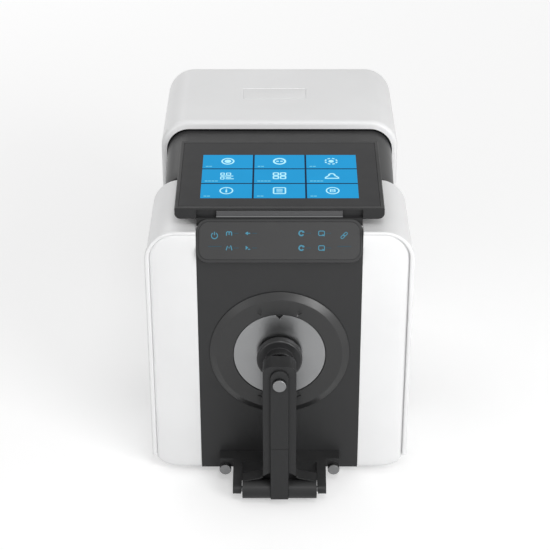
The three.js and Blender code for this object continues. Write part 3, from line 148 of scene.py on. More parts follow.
lamp_aim = Vector((0.0, 0.0, 0.15))
for name, place, size, power in (
    ("right_lamp", (0.95, -1.35, 0.85), 0.8, 14.0),
    ("front_lamp", (0.2, -1.3, 1.75), 0.5, 6.0),
    ("left_lamp", (-1.5, -1.7, 1.1), 1.2, 4.6),
    ("back_lamp", (-1.2, 1.9, 1.9), 1.6, 11.0),
):
    light = bpy.data.lights.new(name, "AREA")
    light.shape = "SQUARE"
    light.size = size
    light.energy = power
    lamp = bpy.data.objects.new(name, light)
    lamp.location = place
    lamp.rotation_mode = "QUATERNION"
    lamp.rotation_quaternion = (lamp_aim - Vector(place)).to_track_quat("-Z", "Y")
    scene.collection.objects.link(lamp)


# Rear shell: a deep white moulded arch with a thick lip round the hood, rounded over at its back.
# It has a window for the rear panel and a recess for the nameplate, and is screwed to the pan.
def node_group(name, kind, inputs, outputs):
    """An empty node group with named inputs and outputs of the given kinds; gives it with its ends."""
    tree = bpy.data.node_groups.new(name, kind)
    for way, sockets in (("INPUT", inputs), ("OUTPUT", outputs)):
        for label, socket in sockets.items():
            tree.interface.new_socket(name=label, in_out=way, socket_type="NodeSocket" + socket)
    return tree, tree.nodes.new("NodeGroupInput"), tree.nodes.new("NodeGroupOutput")


grain_group, grain_in, grain_out = node_group(
    "moulded_grain", "ShaderNodeTree",
    {"Scale": "Float"}, {"Height": "Float", "Mottle": "Float", "Smudge": "Float"},
)
spot = place_on(grain_group)
fine = wire(grain_group, "ShaderNodeTexNoise", Vector=spot, Scale=grain_in, Detail=3.0)
slow = wire(grain_group, "ShaderNodeTexNoise", Vector=spot, Scale=9.0, Detail=4.0)
touch = wire(grain_group, "ShaderNodeTexNoise", Vector=spot, Scale=26.0, Detail=6.0, Distortion=0.8)
touched = wire(grain_group, "ShaderNodeMapRange", Value=touch, From_Min=0.5, From_Max=0.75)
plug(grain_group, grain_out, Height=fine, Mottle=slow, Smudge=touched)

dust_group, dust_in, dust_out = node_group(
    "settled_dust", "ShaderNodeTree", {"Amount": "Float"}, {"Dust": "Float"}
)
normal = dust_group.nodes.new("ShaderNodeNewGeometry").outputs["Normal"]
upward = wire(dust_group, "ShaderNodeSeparateXYZ", Vector=normal).outputs["Z"]
lying = wire(dust_group, "ShaderNodeMapRange", Value=upward, From_Min=0.3, From_Max=1.0)
specks = wire(dust_group, "ShaderNodeTexNoise", Vector=place_on(dust_group), Scale=60.0, Detail=8.0)
patchy = number(dust_group, "MULTIPLY", lying, specks)
plug(dust_group, dust_out, Dust=number(dust_group, "MULTIPLY", patchy, dust_in))


dust_grey = (0.55, 0.54, 0.52, 1.0)


def tone(color, share, most):
    """A colour made a little darker or lighter, up to a limit."""
    return (*[min(c * share, most) for c in color], 1.0)


def blend(tree, share, first, second):
    """Two colours mixed by a share; gives the mix's colour."""
    mix = wire(tree, "ShaderNodeMix", {"data_type": "RGBA"}, Factor=share, A=first, B=second)
    return mix.outputs["Result"]


def finish(
    name, color, roughness,
    grain=900.0, relief=0.1, dust=0.06, metallic=0.0, coat=0.0, gloss=0.5, axis=None,
):
    """A moulded, painted or metal finish: colour, mottling, touch marks, grain and a little dust.

    axis is the height of the axis along Y that turning marks run about."""
    material = bpy.data.materials.new(name)
    material.use_nodes = True
    tree = material.node_tree
    effect = wire(tree, "ShaderNodeGroup", {"node_tree": grain_group}, Scale=grain).outputs
    settled = wire(tree, "ShaderNodeGroup", {"node_tree": dust_group}, Amount=dust)
    tint = blend(tree, effect["Mottle"], tone(color, 0.93, 0.98), tone(color, 1.07, 0.98))
    dusty = blend(tree, settled, tint, dust_grey)
    worn = wire(
        tree, "ShaderNodeMapRange",
        Value=effect["Smudge"], To_Min=roughness, To_Max=min(roughness * 1.3, 1.0),
    )
    height = effect["Height"]
    if axis is not None:
        split = wire(tree, "ShaderNodeSeparateXYZ", Vector=place_on(tree)).outputs
        across = number(tree, "POWER", split["X"], 2.0)
        above = number(tree, "POWER", number(tree, "SUBTRACT", split["Z"], axis), 2.0)
        radius = number(tree, "POWER", number(tree, "ADD", across, above), 0.5)
        height = wire(
            tree, "ShaderNodeTexNoise", {"noise_dimensions": "1D"}, W=radius, Scale=2400.0, Detail=2.0
        )
    plug(
        tree, tree.nodes["Principled BSDF"],
        Base_Color=dusty, Roughness=worn, Metallic=metallic, Specular_IOR_Level=gloss,
        Coat_Weight=coat, Coat_Roughness=0.12,
        Normal=wire(tree, "ShaderNodeBump", Height=height, Strength=relief, Distance=0.0002),
    )
    return material


def corner_points(cx, cz, radius, start, steps=12):
    """A quarter round from a start angle, anticlockwise, or the bare corner where it has no radius."""
    if radius <= 0:
        return [(cx, cz)]
    turns = [start + math.pi / 2 * i / steps for i in range(steps + 1)]
    return [(cx + radius * math.cos(t), cz + radius * math.sin(t)) for t in turns]


def rounded(half, low, high, lower, upper=None):
    """The outline (x, z) of a rounded rectangle, anticlockwise from its lower right."""
    upper = lower if upper is None else upper
    points = corner_points(half - lower, low + lower, lower, -math.pi / 2)
    points += corner_points(half - upper, high - upper, upper, 0.0)
    points += corner_points(upper - half, high - upper, upper, math.pi / 2)
    return points + corner_points(lower - half, low + lower, lower, math.pi)


def inset(points, depth, sharpest=0.35):
    """An outline moved in by a depth, each point along the bisector of its sides."""
    moved = []
    for i, here in enumerate(points):
        before, after = Vector(points[i - 1]), Vector(points[(i + 1) % len(points)])
        here = Vector(here)
        a, b = (here - before).normalized(), (after - here).normalized()
        normal_a, normal_b = Vector((-a.y, a.x)), Vector((-b.y, b.x))
        bisector = (normal_a + normal_b).normalized()
        moved.append(tuple(here + bisector * (depth / max(bisector.dot(normal_a), sharpest))))
    return moved


def loft(rings, closed=False):
    """A closed mesh through rings of points, with flat ends, or with its last ring joined to its first."""
    bm = bmesh.new()
    rows = [[bm.verts.new(p) for p in ring] for ring in rings]
    for low, high in zip(rows, rows[1:] + rows[:1] if closed else rows[1:]):
        for i in range(len(low)):
            j = (i + 1) % len(low)
            bm.faces.new((low[i], low[j], high[j], high[i]))
    if not closed:
        bm.faces.new(rows[0][::-1])
        bm.faces.new(rows[-1])
    bmesh.ops.recalc_face_normals(bm, faces=bm.faces)
    return bm


def soft_steps(soft, steps):
    """How far back and how far in the steps of a rounded edge lie, from its front to its side."""
    turns = [math.pi / 2 * i / steps for i in range(steps + 1)]
    return [(soft * (1 - math.cos(t)), soft * (1 - math.sin(t))) for t in turns]


def carried(outline, y0, y1, soft_front=0.0, soft_back=0.0, steps=4):
    """An outline carried along Y, its edges rounded at the front and the back."""
    ends = []
    for y, soft, way in ((y0, soft_front, 1), (y1, soft_back, -1)):
        ends.append([
            [(x, y + way * back, z) for x, z in inset(outline, draw)]
            for back, draw in soft_steps(soft, steps)
        ] if soft else [[(x, y, z) for x, z in outline]])
    return loft(ends[0] + ends[1][::-1])


def brick(x0, x1, y0, y1, z0, z1):
    """A plain block, for cutting."""
    return loft([[(x0, y0, z), (x1, y0, z), (x1, y1, z), (x0, y1, z)] for z in (z0, z1)])


def shade_smooth(mesh, sharp=35.0):
    """Shades a mesh smooth but for edges that turn by more than some degrees."""
    mesh.polygons.foreach_set("use_smooth", [True] * len(mesh.polygons))
    mesh.set_sharp_from_angle(angle=math.radians(sharp))


def mesh_piece(name, bm):
    """An object of a mesh, shaded smooth but for its sharp edges."""
    mesh = bpy.data.meshes.new(name)
    bm.to_mesh(mesh)
    bm.free()
    shade_smooth(mesh)
    piece = bpy.data.objects.new(name, mesh)
    scene.collection.objects.link(piece)
    return piece


def settle(piece):
    """Works a piece's modifiers into its mesh."""
    bpy.context.view_layer.update()
    shaped = piece.evaluated_get(bpy.context.evaluated_depsgraph_get())
    piece.data = bpy.data.meshes.new_from_object(shaped)
    piece.modifiers.clear()


def cut_away(piece, *tools):
    """Takes the space that each tool fills from a piece; the tools are used up."""
    for bm in tools:
        tool = mesh_piece("tool", bm)
        cutter = piece.modifiers.new("cut", "BOOLEAN")
        cutter.operation = "DIFFERENCE"
        cutter.solver = "EXACT"
        cutter.object = tool
        settle(piece)
        bpy.data.objects.remove(tool)


def flat_light(piece):
    """Keeps a piece's flat faces flat in the light, up to its rounded edges."""
    piece.modifiers.new("flat_light", "WEIGHTED_NORMAL").keep_sharp = True


def soften(piece, width, segments, angle):
    """Rounds a piece's edges that turn by more than some degrees."""
    edge = piece.modifiers.new("soft_edge", "BEVEL")
    edge.width = width
    edge.segments = segments
    edge.limit_method = "ANGLE"
    edge.angle_limit = math.radians(angle)
    edge.harden_normals = False
    settle(piece)
    piece.data.polygons.foreach_set("use_smooth", [True] * len(piece.data.polygons))
    flat_light(piece)


def fit(piece, material, body, slot, *nodes):
    """Gives a piece its material, the body that it moves with and the CAD nodes that it stands for."""
    piece.data.materials.clear()
    piece.data.materials.append(material)
    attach(piece, body)
    if nodes:
        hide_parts(*nodes)


white_paint = finish(
    "white_paint", (0.86, 0.862, 0.865), 0.32, grain=260.0, relief=0.05, dust=0.02, coat=0.15, gloss=0.35
)
rear_low, rear_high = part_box("rear_shell")
rear_half, rear_top = rear_high.x, rear_high.z
rear_corner, rear_round = 0.030, 0.018
rear_lip_side, rear_lip_top, rear_lip_depth, rear_lip_soft = 0.006, 0.0086, 0.008, 0.0046
rear_wall_side, rear_wall_top, rear_wall_back = 0.0035, 0.0048, 0.007
window_half, window_low, window_high, window_corner = 0.094, 0.032, 0.270, 0.008
plate_x, plate_y, plate_half, plate_length, plate_depth = -0.0052, 0.1194, 0.0344, 0.0307, 0.0008
plate_corner, plate_draft = 0.002, 0.0006
past, overlap = 0.02, 0.0005


def rear_section(y, draw):
    """The rear shell's outline at a place along it, drawn in by a softening."""
    outline = rounded(rear_half - draw, rear_low.z, rear_top - draw, 0.0, rear_corner - draw)
    return [(x, y, z) for x, z in outline]


def rear_bore(side, top):
    """The outline of the space inside the rear shell's side and top walls."""
    return rounded(rear_half - side, rear_low.z - past, rear_top - top, 0.0, rear_corner - side)


rear_rings = [rear_section(rear_low.y + back, draw) for back, draw in soft_steps(rear_lip_soft, 6)]
rear_rings += [rear_section(rear_high.y - ahead, draw) for draw, ahead in soft_steps(rear_round, 10)]
rear_shell = mesh_piece("rear_body_shell", loft(rear_rings))
plate_shape = rounded(plate_half, -plate_length / 2, plate_length / 2, plate_corner)
plate_outline = [(plate_x + x, plate_y + y) for x, y in plate_shape]
plate_floor = [(x, y, rear_top - plate_depth) for x, y in inset(plate_outline, plate_draft)]
plate_mouth = [(x, y, rear_top + plate_depth) for x, y in inset(plate_outline, -plate_draft)]
window = rounded(window_half, window_low, window_high, window_corner)
cut_away(
    rear_shell,
    carried(rear_bore(rear_lip_side, rear_lip_top), rear_low.y - past, rear_low.y + rear_lip_depth),
    carried(
        rear_bore(rear_wall_side, rear_wall_top),
        rear_low.y + rear_lip_depth - overlap, rear_high.y - rear_wall_back,
    ),
    carried(window, rear_high.y - past, rear_high.y + past),
    loft([plate_floor, plate_mouth]),
)
soften(rear_shell, width=0.0007, segments=2, angle=50.0)
fit(rear_shell, white_paint, "root", "white_shell", "rear_shell")

# Nameplate: a bare white plate with a slightly rounded edge, pressed into the recess on the rear
# shell's top with a fine gap round it
name_gap, name_soft = 0.0014, 0.0003
name_levels = ((plate_depth, name_gap), (plate_depth / 4, name_gap), (plate_depth / 8, name_gap + name_soft))
name_plate = mesh_piece(
    "bare_nameplate",
    loft([[(x, y, rear_top - drop) for x, y in inset(plate_outline, gap)] for drop, gap in name_levels]),
)
fit(name_plate, white_paint, "root", "white_shell")

# Front shell: a white moulded arch like the rear one, with a bead along its front edge. It is open
# at the top where the visor comes through, and is screwed to the pan.
shell_low, shell_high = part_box("front_shell")
lip_half, lip_top = shell_high.x, shell_high.z
shell_half, shell_top, shell_corner, shell_wall, shell_edge = 0.1303, 0.2811, 0.030, 0.003, 0.0006
bead_depth, bead_side, bead_height, bead_soft, bead_step = 0.006, 0.0046, 0.0036, 0.0016, 0.0008
bead_corner = shell_corner + 0.0011


def arch_wall(half, low, high, corner, side, top):
    """The outline of an arch's wall: up the outside from the right foot, and back along the inside."""
    outside = rounded(half, low, high, 0.0, corner)
    return outside + rounded(half - side, low, high - top, 0.0, corner - side)[::-1]


def shell_ring(y, half, top, corner, side, height, soft=0.0):
    """The section of the front shell's wall or bead at a place along it, thinned by a softening."""
    outline = arch_wall(half, shell_low.z, top, corner, side, height)
    return [(x, y, z) for x, z in (inset(outline, soft) if soft else outline)]


bead = (lip_half, lip_top, bead_corner, bead_side, bead_height)
wall = (shell_half, shell_top, shell_corner, shell_wall, shell_wall)
shell_rings = [shell_ring(shell_low.y + back, *bead, soft=draw) for back, draw in soft_steps(bead_soft, 5)]
shell_rings += [
    shell_ring(shell_low.y + bead_depth - bead_step, *bead),
    shell_ring(shell_low.y + bead_depth, *wall),
    shell_ring(shell_high.y - shell_edge, *wall),
    shell_ring(shell_high.y, *wall, soft=shell_edge),
]
front_shell = mesh_piece("front_body_shell", loft(shell_rings))
visor_low, visor_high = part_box("visor")
seam = 0.0003
cut_away(
    front_shell,
    brick(
        visor_low.x - seam, visor_high.x + seam,
        shell_low.y - past, visor_high.y + seam,
        visor_low.z, lip_top + past,
    ),
)
soften(front_shell, width=0.0004, segments=2, angle=60.0)
fit(front_shell, white_paint, "root", "white_shell", "front_shell")

# Cheeks: white moulded panels between the bead and the column, bowed back a little towards the
# outside. They clip on from the front, and all but their inner edges are softly rounded.
cheek_sweep, cheek_thick, cheek_soft, cheek_fall, cheek_overlap = 0.0026, 0.004, 0.009, 0.0018, 0.0002
cheek_top_corner, foot_corner, foot_steps, foot_spare = 0.0265, 0.024, 10, math.radians(3.0)
bow_strips = 5
merge_reach = 0.00001
for side, name in ((1, "cheek_right"), (-1, "cheek_left")):
    low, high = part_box(name)
    inner, outer = (low.x, high.x) if side > 0 else (-high.x, -low.x)
    foot_centre = lip_half - foot_corner
    foot_end = math.acos((outer - foot_centre) / foot_corner)
    foot_clear = math.acos((outer - foot_centre - cheek_soft) / (foot_corner - cheek_soft)) + foot_spare
    foot_sweep = math.pi / 2 - foot_clear
    foot_turns = [-math.pi / 2 + foot_sweep * i / foot_steps for i in range(foot_steps + 1)] + [-foot_end]
    cheek_outline = [(inner, low.z)]
    cheek_outline += [
        (foot_centre + foot_corner * math.cos(t), low.z + foot_corner * (1 + math.sin(t))) for t in foot_turns
    ]
    cheek_outline += corner_points(
        outer - cheek_top_corner, high.z - cheek_top_corner, cheek_top_corner, 0.0, steps=14
    )
    cheek_outline.append((inner, high.z))
    bm = carried(inset(cheek_outline, -cheek_overlap), 0.0, 2 * cheek_soft, soft_front=cheek_soft, steps=9)
    edge_start = inner + cheek_soft
    for i in range(1, bow_strips):
        bmesh.ops.bisect_plane(
            bm, geom=bm.verts[:] + bm.edges[:] + bm.faces[:],
            plane_co=(edge_start + (outer - edge_start) * i / bow_strips, 0.0, 0.0), plane_no=(1.0, 0.0, 0.0),
        )
    for vertex in bm.verts:
        if vertex.co.x < edge_start + cheek_overlap / 2:
            vertex.co.x = inner
        share = (vertex.co.x - inner) / (outer - inner)
        at_back = vertex.co.y > 1.5 * cheek_soft
        depth = cheek_thick if at_back else vertex.co.y * cheek_fall / cheek_soft
        vertex.co.y = low.y + depth + cheek_sweep * share * share
        vertex.co.x *= side
    bmesh.ops.remove_doubles(bm, verts=bm.verts, dist=merge_reach)
    bmesh.ops.recalc_face_normals(bm, faces=bm.faces)
    cheek = mesh_piece(name + "_panel", bm)
    flat_light(cheek)
    fit(cheek, white_paint, "root", "white_shell", name)


# Column: the dark moulded front plate with the round hole of the measuring port. It stands on the
# chassis between the cheeks, and its upper corners close the space beside the visor's round ones.
def circle(radius, x=0.0, y=0.0, start=0.0, end=360.0, steps=28):
    """Points round a circle, or along a part of it, from a start to an end in degrees."""
    whole = end - start >= 360.0
    turns = [math.radians(start + (end - start) * i / steps) for i in range(steps + (0 if whole else 1))]
    return [(x + radius * math.cos(t), y + radius * math.sin(t)) for t in turns]


def copied_solid(node):
    """A copy of a node's solid, merged along its edges."""
    bm = bmesh.new()
    bm.from_mesh(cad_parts[node].data)
    bmesh.ops.remove_doubles(bm, verts=bm.verts, dist=merge_reach)
    return bm


dark_plastic = finish(
    "dark_plastic", (0.028, 0.0283, 0.029), 0.42, grain=1400.0, relief=0.12, dust=0.03, gloss=0.28
)
column_low, column_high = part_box("front_column")
column_thick, column_web, port_hole = 0.004, 0.012, 0.0464
plate_low, plate_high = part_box("aperture_plate")
port_z = (plate_low.z + plate_high.z) / 2
column_back = column_low.y + column_thick, column_high.y + past
column = mesh_piece(
    "column_front",
    brick(column_low.x, column_high.x, column_low.y, column_high.y, column_low.z, column_high.z + column_web),
)
cut_away(
    column,
    copied_solid("visor"),
    brick(
        column_low.x + column_thick, column_high.x - column_thick, *column_back,
        column_low.z - past, column_high.z + past,
    ),
    brick(
        column_low.x - past, column_high.x + past, *column_back,
        column_low.z - past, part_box("chassis_plate")[0].z + column_thick,
    ),
    carried(circle(port_hole, 0.0, port_z, steps=96), column_low.y - past, column_high.y + past),
)
soften(column, width=0.0005, segments=2, angle=60.0)
fit(column, dark_plastic, "root", "dark_front", "front_column")


# Port ring: a turned, bevelled and black anodised ring, screwed to the column from behind. Four
# small triangles are cut in its face, and the aperture plate is turned to one of them.
def turned(profile):
    """A solid of revolution about the port's axis, from a closed outline of (radius, y) points."""
    return loft([[(x, y, z) for x, z in circle(r, 0.0, port_z, steps=128)] for r, y in profile], closed=True)


def eased(profile, soft, steps=3, room=2.2):
    """A profile with its corners rounded, each on no more than its room in the sides beside it."""
    points = []
    for i, here in enumerate(profile):
        before, after = Vector(profile[i - 1]), Vector(profile[(i + 1) % len(profile)])
        corner = Vector(here)
        reach = min(soft, (before - corner).length / room, (after - corner).length / room)
        start = corner + (before - corner).normalized() * reach
        end = corner + (after - corner).normalized() * reach
        for k in range(steps + 1):
            s = k / steps
            points.append(tuple(start * (1 - s) ** 2 + corner * (2 * s * (1 - s)) + end * s * s))
    return points


bezel_black = finish(
    "bezel_black", (0.013, 0.0132, 0.0136), 0.3, relief=0.05, dust=0.02, gloss=0.55, axis=port_z
)
ring_low, ring_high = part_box("port_ring")
ring_radius = (ring_high.x - ring_low.x) / 2
ring_face, ring_bore, ring_floor, ring_rim = 0.0626, 0.0461, 0.0039, 0.0012
tube_bore, tube_wall, spigot = 0.014, 0.004, 0.003
ring_profile = [
    (ring_radius, front_y - seam), (ring_radius, front_y - ring_rim),
    (ring_face, ring_low.y), (ring_bore, ring_low.y), (ring_bore, ring_low.y + ring_floor),
    (tube_bore, ring_low.y + ring_floor), (tube_bore, ring_high.y),
    (tube_bore + tube_wall, ring_high.y), (tube_bore + tube_wall, front_y + spigot),
    (ring_bore, front_y + spigot), (ring_bore, front_y - seam),
]
port_ring = mesh_piece("port_bezel", turned(eased(ring_profile, 0.0006)))
mark_radius, mark_turn, mark_half, mark_depth = 0.0512, math.radians(22), 0.0027, 0.0012
mark_shape = ((0.0, -mark_half), (mark_half, mark_half * 0.6), (-mark_half, mark_half * 0.6))
for turn in (mark_turn, -mark_turn, math.pi - mark_turn, math.pi + mark_turn):
    triangle = [
        (
            across * math.cos(turn) + (mark_radius + out) * math.sin(turn),
            port_z + (mark_radius + out) * math.cos(turn) - across * math.sin(turn),
        )
        for across, out in mark_shape
    ]
    cut_away(port_ring, carried(triangle, ring_low.y - past, ring_low.y + mark_depth))
flat_light(port_ring)
fit(port_ring, bezel_black, "root", "dark_front", "port_ring")

# Aperture plate: a turned aluminium disc with the measuring hole. It seats in the ring, is changed
# for the size of the sample, and has a V notch at its top.
satin_metal = finish(
    "satin_metal", (0.28, 0.283, 0.287), 0.3, relief=0.12, dust=0.0, metallic=1.0, axis=port_z
)
plate_radius, port_radius = (plate_high.x - plate_low.x) / 2, 0.0127
plate_profile = [(r, y) for r, y in (
    (plate_radius, plate_low.y), (plate_radius, plate_high.y),
    (port_radius, plate_high.y), (port_radius, plate_low.y),
)]
aperture = mesh_piece("aperture_disc", turned(eased(plate_profile, 0.0005)))
notch_half, notch_depth, notch_turn = 0.0046, 0.0044, math.radians(33.0)
notch_shape = ((0.0, -1.0), (1.0, 1 / 8), (1.0, 1.0), (-1.0, 1.0), (-1.0, 1 / 8))
notch = [(x * notch_half, port_z + plate_radius + z * notch_depth) for x, z in notch_shape]
cut_away(aperture, carried(notch, plate_low.y - past, plate_high.y + past))
aperture.data.set_sharp_from_angle(angle=notch_turn)
flat_light(aperture)
fit(aperture, satin_metal, "aperture", "satin_plate", "aperture_plate")


# Visor: the dark moulded wedge over the top of the column. It snaps between the two ends of the
# shell's bead, and its sloping face holds the touch film.
flat_turn, crease_turn = math.radians(0.6), math.radians(38.0)


def from_solid(name, node, edge, segments=2):
    """A copy of a node's solid with its flat faces whole and its edges rounded."""
    bm = copied_solid(node)
    bmesh.ops.dissolve_limit(bm, angle_limit=flat_turn, verts=bm.verts, edges=bm.edges)
    piece = mesh_piece(name, bm)
    soften(piece, edge, segments, angle=34.0)
    piece.data.set_sharp_from_angle(angle=crease_turn)
    return piece


def dress(name, node, material, slot, edge, segments=2, body="root"):
    """Puts a copy of a node's solid with rounded edges and a finish in the node's place."""
    piece = from_solid(name, node, edge, segments)
    fit(piece, material, body, slot, node)
    return piece


dress("visor_wedge", "visor", dark_plastic, "dark_front", edge=0.0012, segments=3)


# Touch film: a matt printed film over the keys, stuck in the visor's face. Its key marks are
# pale blue prints with a short line beside each key, and a longer one under the two outer keys.
# The marks and lines are made to glow, a painted brightness that they keep in any light.
def box_line(half_x, half_y, corner=0.0, x=0.0, y=0.0):
    """The outline of a box with rounded corners, about a centre."""
    points = []
    for sx, sy, start in ((1, -1, -90), (1, 1, 0), (-1, 1, 90), (-1, -1, 180)):
        cx, cy = x + sx * (half_x - corner), y + sy * (half_y - corner)
        points += circle(corner, cx, cy, start, start + 90, 5) if corner else [(cx, cy)]
    return points


def print_on(name, place, marks):
    """Thin prints on a plane. A mark is (x, y, size, shapes), and a shape is its points with the
    width of its line, or None where it is filled, and whether the line closes."""
    bm = bmesh.new()
    for mx, my, size, shapes in marks:
        for points, width, closed in shapes:
            flat = [Vector((mx + size * x, my + size * y)) for x, y in points]
            if width is None:
                low = [bm.verts.new((p.x, p.y, 0.0)) for p in flat]
                high = [bm.verts.new((p.x, p.y, print_thick)) for p in flat]
                bm.faces.new(low)
                bm.faces.new(high)
                loops = list(zip(low, low[1:] + low[:1], high[1:] + high[:1], high))
            else:
                rows = []
                for i, p in enumerate(flat):
                    before = flat[i - 1] if i or closed else p
                    after = flat[(i + 1) % len(flat)] if i + 1 < len(flat) or closed else p
                    along = (after - before).normalized()
                    side = Vector((-along.y, along.x)) * (width * size / 2)
                    left, right, top = p + side, p - side, print_thick
                    corners = ((left, 0.0), (left, top), (right, top), (right, 0.0))
                    rows.append([bm.verts.new((*spot, z)) for spot, z in corners])
                if not closed:
                    bm.faces.new(rows[0])
                    bm.faces.new(rows[-1])
                pairs = list(zip(rows, rows[1:] + rows[:1] if closed else rows[1:]))
                loops = [(a[k], a[(k + 1) % 4], b[(k + 1) % 4], b[k]) for a, b in pairs for k in range(4)]
            for corners in loops:
                bm.faces.new(corners)
    bmesh.ops.recalc_face_normals(bm, faces=bm.faces)
    bm.transform(place)
    return mesh_piece(name, bm)


def face_of(node, tilt, thick):
    """The upper face of a tilted plate: x across, y up along it and z out of it, from its lower edge."""
    low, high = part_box(node)
    length = (high.z - low.z - thick * math.cos(tilt)) / math.sin(tilt)
    foot = Vector((0.0, low.y, high.z - length * math.sin(tilt)))
    return Matrix.Translation(foot) @ Matrix.Rotation(tilt, 4, "X")


def glowing(name, color, strength, roughness=0.35):
    """A lit screen surface, or a print or an edge made to glow as painted brightness, with a faint unevenness
    in its light.
    """
    material = finish(name, [c * 0.12 for c in color], roughness, grain=2600.0, relief=0.02, dust=0.0)
    tree = material.node_tree
    even = wire(tree, "ShaderNodeTexNoise", Vector=place_on(tree), Scale=30.0)
    plug(
        tree, tree.nodes["Principled BSDF"],
        Emission_Color=blend(tree, even, tone(color, 0.94, 1.0), tone(color, 1.06, 1.0)),
        Emission_Strength=strength, Specular_IOR_Level=0.04,
    )
    return material


print_thick = 0.00006
film = finish("key_film", (0.034, 0.0343, 0.035), 0.38, grain=2600.0, relief=0.03, dust=0.03, gloss=0.3)
# The key prints glow: painted brightness, though they are no lamp.
key_glow_ink = glowing("key_glow_ink", (0.08, 0.27, 0.38), 1.0)
line_glow_ink = glowing("key_line_glow_ink", (0.05, 0.105, 0.14), 0.75)
dress("touch_film", "key_panel", film, "key_film", edge=0.0002)
power_mark = [(circle(0.86, start=-240, end=60), 0.26, False), ([(0, 0.15), (0, 1.1)], 0.26, False)]
wave_mark = [
    ([(-0.8, -0.7)] + circle(0.4, -0.4, 0.1, 180, 0, 8) + [(0.0, -0.5)], 0.3, False),
    ([(0.0, -0.5)] + circle(0.4, 0.4, 0.1, 180, 0, 8) + [(0.8, -0.7)], 0.3, False),
]
peak_mark = [([(-0.9, -0.7), (-0.5, 0.6), (0.0, -0.1), (0.5, 0.8), (0.9, -0.7)], 0.3, False)]
left_mark = [([(-0.8, 0.0), (0.1, -0.6), (0.1, 0.6)], None, True), ([(0.0, 0.0), (0.8, 0.0)], 0.28, False)]
tick_mark = [([(-0.6, 0.7), (-0.6, -0.6), (0.2, 0.1)], None, True), ([(0.1, -0.4), (0.8, -0.4)], 0.25, False)]
turn_mark = [
    (circle(0.72, start=50, end=330), 0.42, False),
    ([(0.25, 0.15), (1.05, 0.25), (0.65, 0.85)], None, True),
]
case_mark = [(box_line(0.9, 0.7, 0.35), 0.26, True), ([(0.3, -0.3), (0.9, -0.9)], 0.26, False)]
link_mark = [
    ([(x * 0.74 - y * 0.67 + o, x * 0.67 + y * 0.74 + o) for x, y in box_line(0.62, 0.34, 0.33)], 0.2, True)
    for o in (-0.36, 0.36)
]
key_size, outer_size, key_gap, key_dash = 0.0031, 0.00341, 0.0044, 0.0048
key_columns, key_rows = (-0.0487, -0.0308, 0.0211, 0.0406), (0.0283, 0.0141)
key_shapes = ((wave_mark, left_mark, turn_mark, case_mark), (peak_mark, tick_mark, turn_mark, case_mark))
inner_keys = [
    (x, y, key_size, shapes)
    for y, row in zip(key_rows, key_shapes)
    for x, shapes in zip(key_columns, row)
]
outer_keys = [(-0.0628, 0.0260, outer_size, power_mark), (0.0624, 0.0262, outer_size, link_mark)]
dash_width, dash_rise, outer_dash = 0.0007, 0.0156, ((-0.006, 0.0), (0.007, 0.0))
key_lines = [
    (x + key_gap, y, 1.0, [([(0.0, 0.0), (key_dash, 0.0)], dash_width, False)]) for x, y, *_ in inner_keys
]
key_lines += [(x, dash_rise, 1.0, [(outer_dash, dash_width, False)]) for x in (-0.063, 0.062)]
film_rise, film_run, film_thick, film_margin = 0.036, 0.0218, 0.0008, 0.0028
film_face = face_of("key_panel", math.atan2(film_rise, film_run), film_thick)
film_face = film_face @ Matrix.Translation((0.0, -film_margin, 0.0))
fit(print_on("key_marks", film_face, outer_keys + inner_keys), key_glow_ink, "root", "key_film")
fit(print_on("key_lines", film_face, key_lines), line_glow_ink, "root", "key_film")

# Display riser: the dark moulded foot between the front shell's top and the display. It is
# screwed to the shell from below and carries the display's wires.
display_plastic = finish(
    "display_plastic", (0.0235, 0.0238, 0.0245), 0.45, grain=1400.0, relief=0.1, dust=0.03, gloss=0.25
)
dress("display_foot", "display_riser", display_plastic, "dark_display", edge=0.0005)

# Display housing: a thin moulded case, tilted a little towards whoever uses it, with rounded
# lower edges and a slot for the status bar in its front.
dress("display_case", "display_housing", display_plastic, "dark_display", edge=0.0007, segments=3)


# Display cover: one pane of dark glass, bonded flush into the housing over the screen module,
# whose metal frame can't be seen
def paint_solids(material, *nodes):
    """Gives its finish to each CAD node that is shown as it is."""
    for node in nodes:
        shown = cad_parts[node].data
        shown.materials.clear()
        shown.materials.append(material)


cover_glass = finish("cover_glass", (0.0195, 0.0198, 0.021), 0.2, relief=0.0, dust=0.02, gloss=0.15)
dress("display_cover", "display_glass", cover_glass, "display_glass", edge=0.0003)
paint_solids(finish("screen_back", (0.03, 0.03, 0.035), 0.5, dust=0.0), "lcd_module")


# Screen picture: a lit page of nine blue tiles, three by three, with dark lines between them, a
# pale mark in the middle of each and a short row of bars at its lower left
def shape_tree(name, sizes):
    """An empty geometry tree with named inputs for its sizes and its material; gives it with its ends."""
    sockets = {"Geometry": "Geometry", **sizes, "Material": "Material"}
    return node_group(name, "GeometryNodeTree", sockets, {"Geometry": "Geometry"})


def close_tree(tree, shape, group_in, group_out):
    """Ends a tree with real geometry and its material."""
    real = wire(tree, "GeometryNodeRealizeInstances", Geometry=shape)
    material = group_in.outputs["Material"]
    plug(tree, group_out, Geometry=wire(tree, "GeometryNodeSetMaterial", Geometry=real, Material=material))


def grow(name, tree, material, sizes, place, points=((0.0, 0.0, 0.0),)):
    """A plain mesh from a geometry tree with its material and its named sizes, put in its place."""
    mesh = bpy.data.meshes.new(name)
    mesh.from_pydata(points, [], [])
    piece = bpy.data.objects.new(name, mesh)
    scene.collection.objects.link(piece)
    grower = piece.modifiers.new("grow", "NODES")
    grower.node_group = tree
    given = {**sizes, "Material": material}
    for item in tree.interface.items_tree:
        if item.in_out == "INPUT" and item.name in given:
            grower[item.identifier] = given[item.name]
    settle(piece)
    piece.data.transform(place)
    shade_smooth(piece.data)
    return piece


